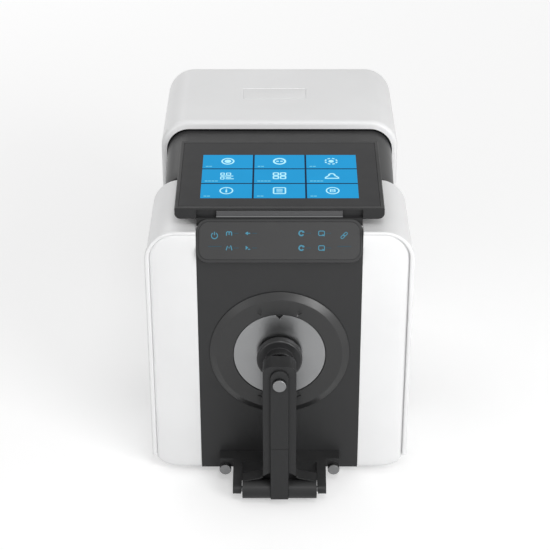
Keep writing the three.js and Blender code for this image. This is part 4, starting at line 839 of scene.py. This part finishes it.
block_grid, grid_in, grid_out = shape_tree("block_grid", {
    "Columns": "Int", "Rows": "Int", "Pitch X": "Float", "Pitch Y": "Float",
    "Width": "Float", "Length": "Float", "Height": "Float",
})
given = grid_in.outputs
span_x, span_y = [
    number(block_grid, "MULTIPLY", number(block_grid, "SUBTRACT", given[count], 1.0), given[pitch])
    for count, pitch in (("Columns", "Pitch X"), ("Rows", "Pitch Y"))
]
block_places = wire(
    block_grid, "GeometryNodeMeshGrid",
    Size_X=span_x, Size_Y=span_y, Vertices_X=given["Columns"], Vertices_Y=given["Rows"],
)
block_size = wire(block_grid, "ShaderNodeCombineXYZ", X=given["Width"], Y=given["Length"], Z=given["Height"])
one_block = wire(block_grid, "GeometryNodeMeshCube", Size=block_size)
blocks = wire(block_grid, "GeometryNodeInstanceOnPoints", Points=block_places, Instance=one_block)
close_tree(block_grid, blocks, grid_in, grid_out)

page_back = glowing("page_back", (0.003, 0.02, 0.07), 0.6, roughness=0.2)
tile_blue = glowing("tile_blue", (0.0105, 0.35, 0.72), 0.82, roughness=0.2)
mark_white = glowing("mark_white", (0.42, 0.82, 0.95), 1.0, roughness=0.2)
label_blue = glowing("label_blue", (0.14, 0.56, 0.80), 0.9, roughness=0.2)
display_tilt, glass_thick = math.radians(4.42), 0.0012
screen_face = face_of("display_glass", display_tilt, glass_thick)
page_low, page_high, page_half = 0.0149, 0.1012, 0.0771
page_middle, page_rise = (page_low + page_high) / 2, (page_high - page_low) / 2
page_shape = (box_line(page_half, page_rise), None, True)
page = print_on("screen_page", screen_face, [(0.0, page_middle, 1.0, [page_shape])])
fit(page, page_back, "root", "display_glass")
tile_gap = 0.0018
tile_pitch = ((2 * page_half + tile_gap) / 3, (page_high - page_low + tile_gap) / 3)
tiles = grow(
    "screen_tiles", block_grid, tile_blue,
    {
        "Columns": 3, "Rows": 3, "Pitch X": tile_pitch[0], "Pitch Y": tile_pitch[1],
        "Width": tile_pitch[0] - tile_gap, "Length": tile_pitch[1] - tile_gap, "Height": print_thick,
    },
    screen_face @ Matrix.Translation((0.0, page_middle, 1.5 * print_thick)),
)
fit(tiles, tile_blue, "root", "display_glass")
rays = [(circle(0.86, start=a + 9, end=a + 36, steps=4), 0.24, False) for a in range(0, 360, 45)]
ring, outer_ring = (circle(0.86), 0.24, True), (circle(0.9), 0.2, True)
dot = (circle(0.4, steps=16), None, True)
page_marks = [
    [ring, (circle(0.5, steps=18), None, True)],
    [(circle(0.84), 0.3, True)] + [(box_line(0.2, 0.16, 0.08, x), None, True) for x in (-0.3, 0.3)],
    [*rays, dot],
    [
        (box_line(0.24, 0.3, 0.06, -0.68, 0.5), 0.16, True), (box_line(0.3, 0.3, 0.06, 0.2, 0.5), 0.16, True),
        ([(-0.95, -0.1), (0.9, -0.1)], 0.2, False), (box_line(0.24, 0.3, 0.06, -0.68, -0.7), 0.16, True),
        ([(-0.2, -0.55), (0.6, -0.55)], 0.2, False), ([(-0.2, -0.9), (1.0, -0.9)], 0.2, False),
    ],
    [(box_line(0.36, 0.36, 0.12, sx * 0.52, sy * 0.5), 0.22, True) for sx in (-1, 1) for sy in (-1, 1)],
    [
        (circle(0.42, 0.0, 0.2, -20, 200, 14), 0.26, False),
        ([(-0.4, 0.1), (-0.95, -0.5), (-0.95, -0.75)], 0.22, False),
        ([(0.4, 0.1), (0.95, -0.5), (0.95, -0.75)], 0.22, False),
        ([(-1.05, -0.75), (1.05, -0.75)], 0.26, False),
    ],
    [outer_ring, (circle(0.12, 0.0, 0.42, steps=10), None, True), ([(0, 0.15), (0, -0.5)], 0.24, False)],
    [
        (box_line(0.85, 0.85, 0.2), 0.22, True),
        *[([(-0.45, y), (0.45, y)], 0.16, False) for y in (0.38, 0.0, -0.38)],
    ],
    [outer_ring, (box_line(0.34, 0.34, 0.05), 0.14, True), ([(-0.3, 0.0), (0.3, 0.0)], 0.14, False)],
]
icon_size, icon_rise, label_counts = 0.0068, 0.0006, (2, 2, 2, 4, 4, 4, 2, 2, 2)
label_pitch, label_left, label_foot = 0.0034, 0.0055, 0.0048
label_shape = (box_line(0.0014, 0.0009, 0.0002), None, True)
icons, labels = [], []
for i, shapes in enumerate(page_marks):
    x = (i % 3 - 1) * tile_pitch[0]
    y = page_middle + (1 - i // 3) * tile_pitch[1]
    icons.append((x, y + icon_rise, icon_size, shapes))
    left, foot = x - tile_pitch[0] / 2 + label_left, y - tile_pitch[1] / 2 + label_foot
    labels += [(left + k * label_pitch, foot, 1.0, [label_shape]) for k in range(label_counts[i])]
mark_face = screen_face @ Matrix.Translation((0.0, 0.0, 2.5 * print_thick))
fit(print_on("screen_marks", mark_face, icons), mark_white, "root", "display_glass")
fit(print_on("screen_labels", mark_face, labels), label_blue, "root", "display_glass")

# Status bar: a grey moulded light guide in the slot of the display's front edge, which shows the
# state of the instrument; a thin glowing strip along its foot is a painted highlight on its edge
bar_grey = finish("bar_grey", (0.07, 0.0705, 0.073), 0.4, grain=1600.0, relief=0.06, gloss=0.4)
# Painted highlight: a thin glowing strip that stands in for the light on the bar's lower edge.
bar_edge_painted_highlight = glowing("bar_edge_painted_highlight", (0.16, 0.162, 0.165), 1.0)
dress("status_light_bar", "status_bar", bar_grey, "status_grey", edge=0.0005)
bar_low, bar_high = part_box("status_bar")
edge_size, edge_lip = 0.0009, 0.0003
edge_shape = (
    (-edge_lip, -edge_lip), (edge_size, -edge_lip), (edge_size, edge_lip),
    (edge_lip, edge_size), (-edge_lip, edge_size),
)
edge_rings = [[(x, bar_low.y + y, bar_low.z + z) for y, z in edge_shape] for x in (bar_low.x, bar_high.x)]
fit(mesh_piece("status_edge_painted_highlight", loft(edge_rings)), bar_edge_painted_highlight, "root", "status_grey")

# Hood: the sliding cover of the transmission compartment, a thin dark moulded arch. Its top falls
# towards the front under the display, and is level where it is tucked into the rear shell.
hood_plastic = finish(
    "hood_plastic", (0.045, 0.0453, 0.046), 0.36, grain=1400.0, relief=0.08, dust=0.03, gloss=0.4
)
hood_low, hood_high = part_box("hood")
hood_corner, hood_wall, hood_drop, hood_soft, hood_strips = 0.024, 0.003, 0.0209, 0.0008, 6
hood_fall = hood_drop / (rear_low.y - hood_low.y)
hood_start = hood_low.y + hood_soft


def hood_ring(y, drop, soft):
    """The hood's section at a place along it, lowered by a drop and drawn in by a softening."""
    outline = arch_wall(hood_high.x, hood_low.z, hood_high.z - drop, hood_corner, hood_wall, hood_wall)
    return [(x, y, z) for x, z in (inset(outline, soft) if soft else outline)]


hood_rings = [
    hood_ring(hood_low.y + back, hood_drop - back * hood_fall, draw)
    for back, draw in soft_steps(hood_soft, 4)
]
for i in range(1, hood_strips + 1):
    y = hood_start + (rear_low.y - hood_start) * i / hood_strips
    hood_rings.append(hood_ring(y, (rear_low.y - y) * hood_fall, 0.0))
hood_rings.append(hood_ring(hood_high.y, 0.0, 0.0))
fit(mesh_piece("hood_arch", loft(hood_rings)), hood_plastic, "hood", "dark_hood", "hood")

# Hood seal: a strip of black felt glued under the rear shell's lip. It wipes the hood as that
# slides back, and keeps light out of the compartment. Its near black also stands in for the
# shade in the gap round the hood, so it is partly painted shade.
# Near black felt that also fills the gap round the hood as painted shade.
felt_and_gap_shade = finish("felt_and_gap_shade", (0.012, 0.012, 0.0125), 0.95, grain=3000.0, relief=0.5, dust=0.0, gloss=0.05)
seal_top, seal_side, seal_foot, seal_setback, seal_depth = 0.0026, 0.0004, 0.004, 0.0012, 0.005
seal_arch = arch_wall(
    rear_half - rear_lip_side, rear_low.z + seal_foot, rear_top - rear_lip_top,
    rear_corner - rear_lip_side, seal_side, seal_top,
)
seal_front = rear_low.y + seal_setback
seal = mesh_piece("hood_seal_and_gap_shade", carried(seal_arch, seal_front, seal_front + seal_depth))
fit(seal, felt_and_gap_shade, "root", "dark_hood")

# Base pan: a shallow white moulded tray with well rounded lower edges. It closes the body from
# below and clips into both shells.
dress("base_pan", "base_tray", white_paint, "white_shell", edge=0.0006)

# Feet: four moulded black rubber pads with a rounded rim. Each is held to the pan by a small
# plated screw that sits deep in the pad, clear of the bench.
rubber = finish("rubber", (0.022, 0.022, 0.023), 0.8, grain=1800.0, relief=0.2, dust=0.15)
plated = finish("plated_steel", (0.5, 0.505, 0.51), 0.28, grain=1800.0, relief=0.05, dust=0.0, metallic=1.0)
screw_heads, screws_in, screws_out = shape_tree(
    "screw_heads", {"Sides": "Int", "Radius": "Float", "Height": "Float", "Slot": "Float"}
)
given = screws_in.outputs
head = wire(
    screw_heads, "GeometryNodeMeshCylinder",
    Vertices=given["Sides"], Radius=given["Radius"], Depth=given["Height"],
)
slot_size = wire(screw_heads, "ShaderNodeCombineXYZ", X=given["Radius"], Y=given["Slot"], Z=given["Slot"])
head_top = number(screw_heads, "MULTIPLY", given["Height"], 0.5)
slot_place = wire(screw_heads, "ShaderNodeCombineXYZ", Z=head_top)
slot_cut = wire(screw_heads, "GeometryNodeMeshCube", Size=slot_size)
slot_first = wire(screw_heads, "GeometryNodeTransform", Geometry=slot_cut, Translation=slot_place)
quarter_turn = (0.0, 0.0, math.pi / 2)
slot_second = wire(screw_heads, "GeometryNodeTransform", Geometry=slot_first, Rotation=quarter_turn)
slotted = wire(
    screw_heads, "GeometryNodeMeshBoolean", {"operation": "DIFFERENCE", "solver": "EXACT"},
    Mesh_1=head, Self_Intersection=True,
)
for slot in (slot_first, slot_second):
    plug(screw_heads, slotted, Mesh_2=slot)
heads = wire(screw_heads, "GeometryNodeInstanceOnPoints", Points=screws_in, Instance=slotted)
close_tree(screw_heads, heads, screws_in, screws_out)
pad_hole, pad_hole_depth, pad_screw_height = 0.0045, 0.004, 0.003
foot_places = []
for corner_name in ("front_left", "front_right", "rear_left", "rear_right"):
    low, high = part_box("foot_" + corner_name)
    middle = (low + high) / 2
    foot_places.append((middle.x, -middle.y, 0.0))
    foot = from_solid("foot_pad_" + corner_name, "foot_" + corner_name, edge=0.001, segments=3)
    hole = circle(pad_hole, middle.x, middle.y)
    cut_away(foot, loft([[(x, y, z) for x, y in hole] for z in (-past, pad_hole_depth)]))
    fit(foot, rubber, "root", "black_rubber", "foot_" + corner_name)
foot_screws = grow(
    "foot_screws", screw_heads, plated,
    {"Sides": 28, "Radius": 0.0036, "Height": 0.002, "Slot": 0.0008},
    Matrix.Translation((0.0, 0.0, pad_screw_height)) @ Matrix.Rotation(math.pi, 4, "X"),
    foot_places,
)
fit(foot_screws, plated, "root", "bright_steel")

# Clamp bracket: a cast and powder-coated bar under the port, with a wing for each thumbscrew and
# two ears that hold the hinge pin.
casting = finish(
    "powder_coat", (0.0225, 0.0228, 0.0235), 0.4, grain=1900.0, relief=0.16, dust=0.03, gloss=0.25
)
dress("clamp_bracket", "clamp_base", casting, "arm_casting", edge=0.0008, segments=3)

# Thumbscrews: turned steel screws that hold the bracket to the instrument, with a ring of knurled
# ridges round each head.
steel = finish("turned_steel", (0.22, 0.222, 0.225), 0.34, grain=2200.0, relief=0.06, dust=0.0, metallic=1.0)
ridge_ring, ridge_in, ridge_out = shape_tree(
    "ridge_ring", {"Count": "Int", "Radius": "Float", "Width": "Float", "Length": "Float"}
)
given = ridge_in.outputs
ridge_turn = number(ridge_ring, "DIVIDE", wire(ridge_ring, "GeometryNodeInputIndex"), given["Count"])
ridge_angle = number(ridge_ring, "MULTIPLY", ridge_turn, 2 * math.pi)
ridge_size = wire(ridge_ring, "ShaderNodeCombineXYZ", X=given["Width"], Y=given["Width"], Z=given["Length"])
ridges = wire(
    ridge_ring, "GeometryNodeInstanceOnPoints",
    Points=wire(ridge_ring, "GeometryNodeMeshCircle", Vertices=given["Count"], Radius=given["Radius"]),
    Instance=wire(ridge_ring, "GeometryNodeMeshCube", Size=ridge_size),
    Rotation=wire(ridge_ring, "ShaderNodeCombineXYZ", Z=ridge_angle),
)
close_tree(ridge_ring, ridges, ridge_in, ridge_out)
knurl_setback = 0.002
for hand in ("left", "right"):
    node, body = "thumbscrew_" + hand, "screw_" + hand
    dress("knurled_screw_" + hand, node, steel, "bright_steel", edge=0.00025, body=body)
    low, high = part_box(node)
    knurl_place = Matrix.Translation(((low.x + high.x) / 2, low.y + knurl_setback, (low.z + high.z) / 2))
    knurl = grow(
        "knurl_ridges_" + hand, ridge_ring, steel,
        {"Count": 32, "Radius": 0.0058, "Width": 0.0005, "Length": 0.0028},
        knurl_place @ Matrix.Rotation(math.pi / 2, 4, "X"),
    )
    fit(knurl, steel, body, "bright_steel")

# Hinge axle: a ground steel pin through both ears, pressed in flush and chamfered at its ends.
# The barrel of the arm turns on it.
dress("hinge_axle", "hinge_pin", steel, "bright_steel", edge=0.0004)

# Return spring: a coil of steel wire round the hinge pin, in a pocket of the barrel. It pulls the
# arm back against the port.
coil_path, coil_in, coil_out = shape_tree(
    "coil_path", {"Turns": "Float", "Radius": "Float", "Length": "Float", "Wire": "Float"}
)
given = coil_in.outputs
helix = wire(
    coil_path, "GeometryNodeCurveSpiral",
    Resolution=36, Rotations=given["Turns"], Start_Radius=given["Radius"], End_Radius=given["Radius"],
    Height=given["Length"],
)
strand = wire(coil_path, "GeometryNodeCurvePrimitiveCircle", Resolution=10, Radius=given["Wire"])
coiled = wire(coil_path, "GeometryNodeCurveToMesh", Curve=helix, Profile_Curve=strand, Fill_Caps=True)
close_tree(coil_path, coiled, coil_in, coil_out)
spring_low, spring_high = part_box("return_spring")
spring_middle, spring_wire = (spring_low + spring_high) / 2, 0.0008
return_spring = grow(
    "return_coil", coil_path, plated,
    {
        "Turns": 7.0, "Radius": (spring_high.y - spring_low.y) / 2 - spring_wire,
        "Length": spring_high.x - spring_low.x - 2 * spring_wire, "Wire": spring_wire,
    },
    Matrix.Translation((spring_low.x + spring_wire, spring_middle.y, spring_middle.z))
    @ Matrix.Rotation(math.pi / 2, 4, "Y"),
)
fit(return_spring, plated, "root", "bright_steel", "return_spring")

# Sample arm: a cast and powder-coated post that grows out of a saddle over its hinge barrel, with
# a neck at its top that guides the press head.
dress("sample_arm", "arm", casting, "arm_casting", edge=0.0009, segments=3, body="arm")

# Arm strip: a moulded strip with a round top, clipped into the front of the arm. It hides the
# screws of the barrel and carries the shaft through its upper end.
strip = from_solid("arm_strip", "arm_cover", edge=0.0008, segments=3)
strip_low, strip_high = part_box("arm_cover")
groove_z, groove_half, groove_depth = 0.071, 0.0002, 0.0004
cut_away(
    strip,
    brick(
        strip_low.x - past, strip_high.x + past, strip_low.y - past, strip_low.y + groove_depth,
        groove_z - groove_half, groove_z + groove_half,
    ),
)
strip.data.set_sharp_from_angle(angle=crease_turn)
flat_light(strip)
fit(strip, casting, "arm", "arm_casting", "arm_cover")

# Press cup: a turned black cup that slides on the neck of the arm, with a flange round the pad
# and a sleeve behind it.
head_plastic = finish(
    "head_plastic", (0.022, 0.0222, 0.023), 0.3, grain=1700.0, relief=0.05, dust=0.02, gloss=0.35
)
dress("head_cup", "press_cup", head_plastic, "dark_front", edge=0.0005, body="press_head")

# Press spring: a short coil of steel wire in the cup that pushes the head towards the port. It
# closes up when the head is pulled back.
push_low, push_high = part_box("press_spring")
push_wire = 0.0007
press_spring = grow(
    "press_coil", coil_path, plated,
    {
        "Turns": 3.0, "Radius": (push_high.x - push_low.x) / 2 - push_wire,
        "Length": push_high.y - push_low.y - 2 * push_wire, "Wire": push_wire,
    },
    Matrix.Translation((0.0, push_high.y - push_wire, port_z)) @ Matrix.Rotation(math.pi / 2, 4, "X"),
)
fit(press_spring, plated, "press_head", "bright_steel", "press_spring")
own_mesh(press_spring)

# Head shaft: a ground steel shaft from the cup through the neck and the arm, with a wider button
# at its front that is pulled to draw the head back.
dress("head_shaft", "head_spindle", steel, "bright_steel", edge=0.0008, segments=3, body="press_head")

# Sample pad: a soft black rubber disc glued in the cup's flange. It presses the sample flat
# against the port.
dress("sample_pad", "head_pad", rubber, "black_rubber", edge=0.0005, body="press_head")

# Rear panel: a dark coated steel sheet behind the shell's window, with ventilation slots beside
# the fan and openings for the sockets. Six pan-head screws hold it to the shell.
panel_coat = finish("panel_coat", (0.042, 0.0425, 0.045), 0.5, grain=1200.0, relief=0.25)
dress("rear_panel_sheet", "rear_panel", panel_coat, "panel_paint", edge=0.0003)
panel_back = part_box("rear_panel")[1].y
facing_back = Matrix.Translation((0.0, panel_back, 0.0)) @ Matrix.Rotation(-math.pi / 2, 4, "X")
panel_screw_side, panel_screw_low, panel_screw_high, panel_screw_rise = 0.088, 0.040, 0.262, 0.0016
panel_screws = grow(
    "panel_screws", screw_heads, plated,
    {"Sides": 28, "Radius": 0.003, "Height": panel_screw_rise, "Slot": 0.0008},
    facing_back,
    [
        (x, -z, panel_screw_rise / 2)
        for x in (-panel_screw_side, 0.0, panel_screw_side)
        for z in (panel_screw_low, panel_screw_high)
    ],
)
fit(panel_screws, plated, "root", "bright_steel")

# Vent baffle: dark slats of folded sheet behind the ventilation slots. They keep stray light out
# of the instrument and let the warm air through.
slat_x, slat_low, slat_pitch, slat_setback, slat_count = 0.052, 0.1475, 0.008, 0.005, 10
slat_middle = slat_low + (slat_count - 1) / 2 * slat_pitch
slat_place = Matrix.Translation((slat_x, panel_back - slat_setback, slat_middle))
vent_baffle = grow(
    "vent_baffle", block_grid, panel_coat,
    {
        "Columns": 1, "Rows": slat_count, "Pitch X": 0.0, "Pitch Y": slat_pitch,
        "Width": 0.064, "Length": 0.0044, "Height": 0.0006,
    },
    slat_place @ Matrix.Rotation(math.pi / 2, 4, "X"),
)
fit(vent_baffle, panel_coat, "root", "panel_paint")

# Fan: a moulded square frame with a seven-bladed rotor that blows out through the panel. Four
# screws in its corners hold it and the guard.
black_plastic = finish("black_plastic", (0.02, 0.02, 0.022), 0.45, grain=1500.0, relief=0.1)
fan_low, fan_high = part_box("fan_guard")
fan_x, fan_z = (fan_low.x + fan_high.x) / 2, (fan_low.z + fan_high.z) / 2
fan_hole, fan_screw_rise = 0.03575, 0.0018
dress("fan_case", "fan_frame", black_plastic, "black_plastic", edge=0.0004)
dress("fan_blades", "fan_rotor", black_plastic, "black_plastic", edge=0.0003, body="fan")
fan_screws = grow(
    "fan_screws", screw_heads, plated,
    {"Sides": 28, "Radius": 0.0032, "Height": fan_screw_rise, "Slot": 0.0009},
    facing_back,
    [
        (fan_x + sx * fan_hole, -(fan_z + sz * fan_hole), fan_screw_rise / 2)
        for sx in (-1, 1) for sz in (-1, 1)
    ],
)
fit(fan_screws, plated, "root", "bright_steel")

# Fan guard: a grille of welded and plated wire, rings on four spokes, that keeps fingers out of
# the fan. The fan's screws hold it.
wire_guard, guard_in, guard_out = shape_tree(
    "wire_guard", {"Rings": "Int", "Spokes": "Int", "Pitch": "Float", "Reach": "Float", "Wire": "Float"}
)
given = guard_in.outputs
counted = number(wire_guard, "ADD", wire(wire_guard, "GeometryNodeInputIndex"), 1.0)
all_rings = wire(
    wire_guard, "GeometryNodeInstanceOnPoints",
    Points=wire(wire_guard, "GeometryNodePoints", Count=given["Rings"]),
    Instance=wire(wire_guard, "GeometryNodeCurvePrimitiveCircle", Resolution=72, Radius=given["Pitch"]),
    Scale=wire(wire_guard, "ShaderNodeCombineXYZ", X=counted, Y=counted, Z=counted),
)
swung = number(wire_guard, "MULTIPLY", number(wire_guard, "DIVIDE", counted, given["Spokes"]), 2 * math.pi)
one_spoke = wire(
    wire_guard, "GeometryNodeCurvePrimitiveLine",
    Start=wire(wire_guard, "ShaderNodeCombineXYZ", X=given["Pitch"]),
    End=wire(wire_guard, "ShaderNodeCombineXYZ", X=given["Reach"]),
)
all_spokes = wire(
    wire_guard, "GeometryNodeInstanceOnPoints",
    Points=wire(wire_guard, "GeometryNodePoints", Count=given["Spokes"]),
    Instance=one_spoke,
    Rotation=wire(wire_guard, "ShaderNodeCombineXYZ", Z=swung),
)
both = wire(wire_guard, "GeometryNodeJoinGeometry", Geometry=all_rings)
plug(wire_guard, both, Geometry=all_spokes)
bent = wire(
    wire_guard, "GeometryNodeCurveToMesh",
    Curve=wire(wire_guard, "GeometryNodeRealizeInstances", Geometry=both),
    Profile_Curve=wire(wire_guard, "GeometryNodeCurvePrimitiveCircle", Resolution=10, Radius=given["Wire"]),
    Fill_Caps=True,
)
close_tree(wire_guard, bent, guard_in, guard_out)
guard_wire, guard_rings = 0.0007, 6
guard_reach = (fan_high.x - fan_low.x) / 2 - guard_wire
guard_place = Matrix.Translation((fan_low + fan_high) / 2) @ Matrix.Rotation(math.pi / 2, 4, "X")
guard = grow(
    "fan_grille", wire_guard, plated,
    {
        "Rings": guard_rings, "Spokes": 4, "Pitch": guard_reach / guard_rings, "Reach": guard_reach,
        "Wire": guard_wire,
    },
    guard_place @ Matrix.Rotation(math.pi / 4, 4, "Z"),
)
fit(guard, plated, "root", "panel_paint", "fan_guard")

# Power inlet: a black moulded socket with three blades that snaps into the panel. It takes the
# usual loose lead, which is unplugged.
dress("power_socket", "power_inlet", black_plastic, "black_plastic", edge=0.0003)

# Power switch: a black moulded frame that snaps into the panel, and a rocker on an axle in it,
# with the two usual marks printed in white for on and off
mark_paint = finish("mark_paint", (0.75, 0.75, 0.74), 0.5, grain=1500.0, relief=0.03, dust=0.0)
dress("switch_bezel", "switch_frame", black_plastic, "black_plastic", edge=0.0004)
rocker = dress("switch_rocker", "power_rocker", black_plastic, "black_plastic", edge=0.0004, body="rocker")
rocker_low, rocker_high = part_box("power_rocker")
rocker_middle, switch_mark_rise, switch_mark_size = (rocker_low + rocker_high) / 2, 0.0055, 0.002
bpy.context.view_layer.update()
for name, way, shape in (
    ("on_mark", 1, ([(0.0, -1.0), (0.0, 1.0)], 0.36, False)),
    ("off_mark", -1, ([(0.8 * x, y) for x, y in circle(1.0)], 0.36, True)),
):
    behind = Vector((rocker_middle.x, rocker_high.y + past, rocker_middle.z + way * switch_mark_rise))
    _, spot, outward, _ = rocker.ray_cast(behind, Vector((0.0, -1.0, 0.0)))
    across = Vector((0.0, 0.0, 1.0)).cross(outward).normalized()
    facing = Matrix((across, outward.cross(across), outward)).transposed().to_4x4()
    mark = print_on(name, Matrix.Translation(spot) @ facing, [(0.0, 0.0, switch_mark_size, [shape])])
    fit(mark, mark_paint, "rocker", "black_plastic")

# Data sockets: a square socket and a nine-pin socket in plated steel shells, screwed to the panel
# from inside, the second with a threaded stud at each side for the plug's screws
dress("square_socket", "usb_socket", plated, "bright_steel", edge=0.0002)
dress("pin_socket", "serial_socket", plated, "bright_steel", edge=0.0002)
serial_low, serial_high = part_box("serial_socket")
serial_x, serial_z = (serial_low.x + serial_high.x) / 2, (serial_low.z + serial_high.z) / 2
stud_reach, stud_rise = 0.01235, 0.0026
studs = grow(
    "socket_studs", screw_heads, plated,
    {"Sides": 6, "Radius": 0.0026, "Height": stud_rise, "Slot": 0.0},
    facing_back,
    [(serial_x + side * stud_reach, -serial_z, stud_rise / 2) for side in (-1, 1)],
)
fit(studs, plated, "root", "bright_steel")

# Socket inserts: black moulded blocks pressed into the two shells, a bed for the nine pins and a
# tongue for the square plug. The pins are gold-plated.
contact_gold = finish(
    "contact_gold", (0.72, 0.53, 0.24), 0.25, grain=1800.0, relief=0.03, dust=0.0, metallic=1.0
)
bed_half, bed_rise, bed_slant, bed_setback, bed_drop = 0.00805, 0.00335, 0.001, 0.003, 0.0055
bed_outline = [
    (serial_x + x, serial_z + z) for x, z in (
        (bed_half, bed_rise), (-bed_half, bed_rise),
        (bed_slant - bed_half, -bed_rise), (bed_half - bed_slant, -bed_rise),
    )
]
bed = carried(bed_outline, serial_low.y + bed_setback, serial_high.y - bed_drop, soft_back=0.0004)
fit(mesh_piece("pin_bed", bed), black_plastic, "root", "black_plastic")
pin_pitch, pin_row, pin_length = 0.00277, 0.00142, 0.0045
pin_out = serial_high.y - panel_back - bed_drop + pin_length / 2
pin_places = [
    ((i - (count - 1) / 2) * pin_pitch, row)
    for count, row in ((5, pin_row), (4, -pin_row)) for i in range(count)
]
pins = grow(
    "socket_pins", screw_heads, contact_gold,
    {"Sides": 10, "Radius": 0.0005, "Height": pin_length, "Slot": 0.0},
    facing_back,
    [(serial_x + x, -(serial_z + z), pin_out) for x, z in pin_places],
)
fit(pins, contact_gold, "root", "bright_steel")
square_low, square_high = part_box("usb_socket")
square_x, square_z = (square_low.x + square_high.x) / 2, (square_low.z + square_high.z) / 2
tongue_half, tongue_rise, tongue_corner, tongue_setback, tongue_drop = 0.0028, 0.0017, 0.0005, 0.0018, 0.0024
tongue_shape = rounded(tongue_half, square_z - tongue_rise, square_z + tongue_rise, tongue_corner)
tongue_outline = [(square_x + x, z) for x, z in tongue_shape]
tongue = carried(tongue_outline, square_low.y + tongue_setback, square_high.y - tongue_drop, soft_back=0.0003)
fit(mesh_piece("socket_tongue", tongue), black_plastic, "root", "black_plastic")

# Chassis plate: a milled aluminium plate that carries everything inside, with four standoffs for
# the main board. It is screwed to the pan.
sheet = finish("sheet_aluminium", (0.45, 0.455, 0.46), 0.4, grain=700.0, relief=0.05, metallic=1.0)
paint_solids(sheet, "chassis_plate")

# Bulkheads and compartment floor: folded and coated steel sheets on the chassis. They part the
# transmission compartment from the sphere and from the optics.
paint_solids(panel_coat, "front_bulkhead", "rear_bulkhead", "compartment_floor")

# Sample holder and window: a black anodised holder on the compartment's floor for a cell of
# liquid, and a pane of clear glass that keeps dust out of the sphere
anodised = finish("black_anodised", (0.03, 0.03, 0.032), 0.4, grain=1900.0, relief=0.06, metallic=0.6)
optical = finish("optical_glass", (0.85, 0.9, 0.92), 0.04, relief=0.0, dust=0.0, coat=0.3)
paint_solids(anodised, "sample_holder")
paint_solids(optical, "front_window")

# Integrating sphere: two flanged shells, screwed together and coated matt white, on a bent
# aluminium stand, each open at its port
sphere_coat = finish("sphere_coat", (0.88, 0.88, 0.87), 0.9, grain=2400.0, relief=0.1, dust=0.0)
paint_solids(sphere_coat, "sphere_front", "sphere_rear")
paint_solids(sheet, "sphere_stand")

# Lamp module: a black anodised block on the top of the sphere, held to the front bulkhead by a
# tongue
paint_solids(anodised, "lamp_module")

# Collecting lens: a ground lens in a black turned barrel, which goes through the rear bulkhead
# from the compartment to the spectrometer
paint_solids(anodised, "lens_barrel")
paint_solids(optical, "collecting_lens")

# Spectrometer: a black milled box with its lid, on an aluminium bench over the main board. It
# holds the ruled grating and the detector's board.
ruled = finish("ruled_mirror", (0.8, 0.8, 0.82), 0.08, relief=0.0, dust=0.0, metallic=1.0)
board_mask = finish("solder_mask", (0.02, 0.12, 0.06), 0.35, grain=1200.0, relief=0.1, coat=0.3)
paint_solids(anodised, "spectrometer_body", "spectrometer_lid")
paint_solids(sheet, "spectrometer_bench")
paint_solids(ruled, "grating")
paint_solids(board_mask, "detector_board")

# Electronics: the main board, screwed to its standoffs, and the power supply in a box of sheet
# metal in front of the inlet
paint_solids(board_mask, "main_board")
paint_solids(sheet, "power_supply")
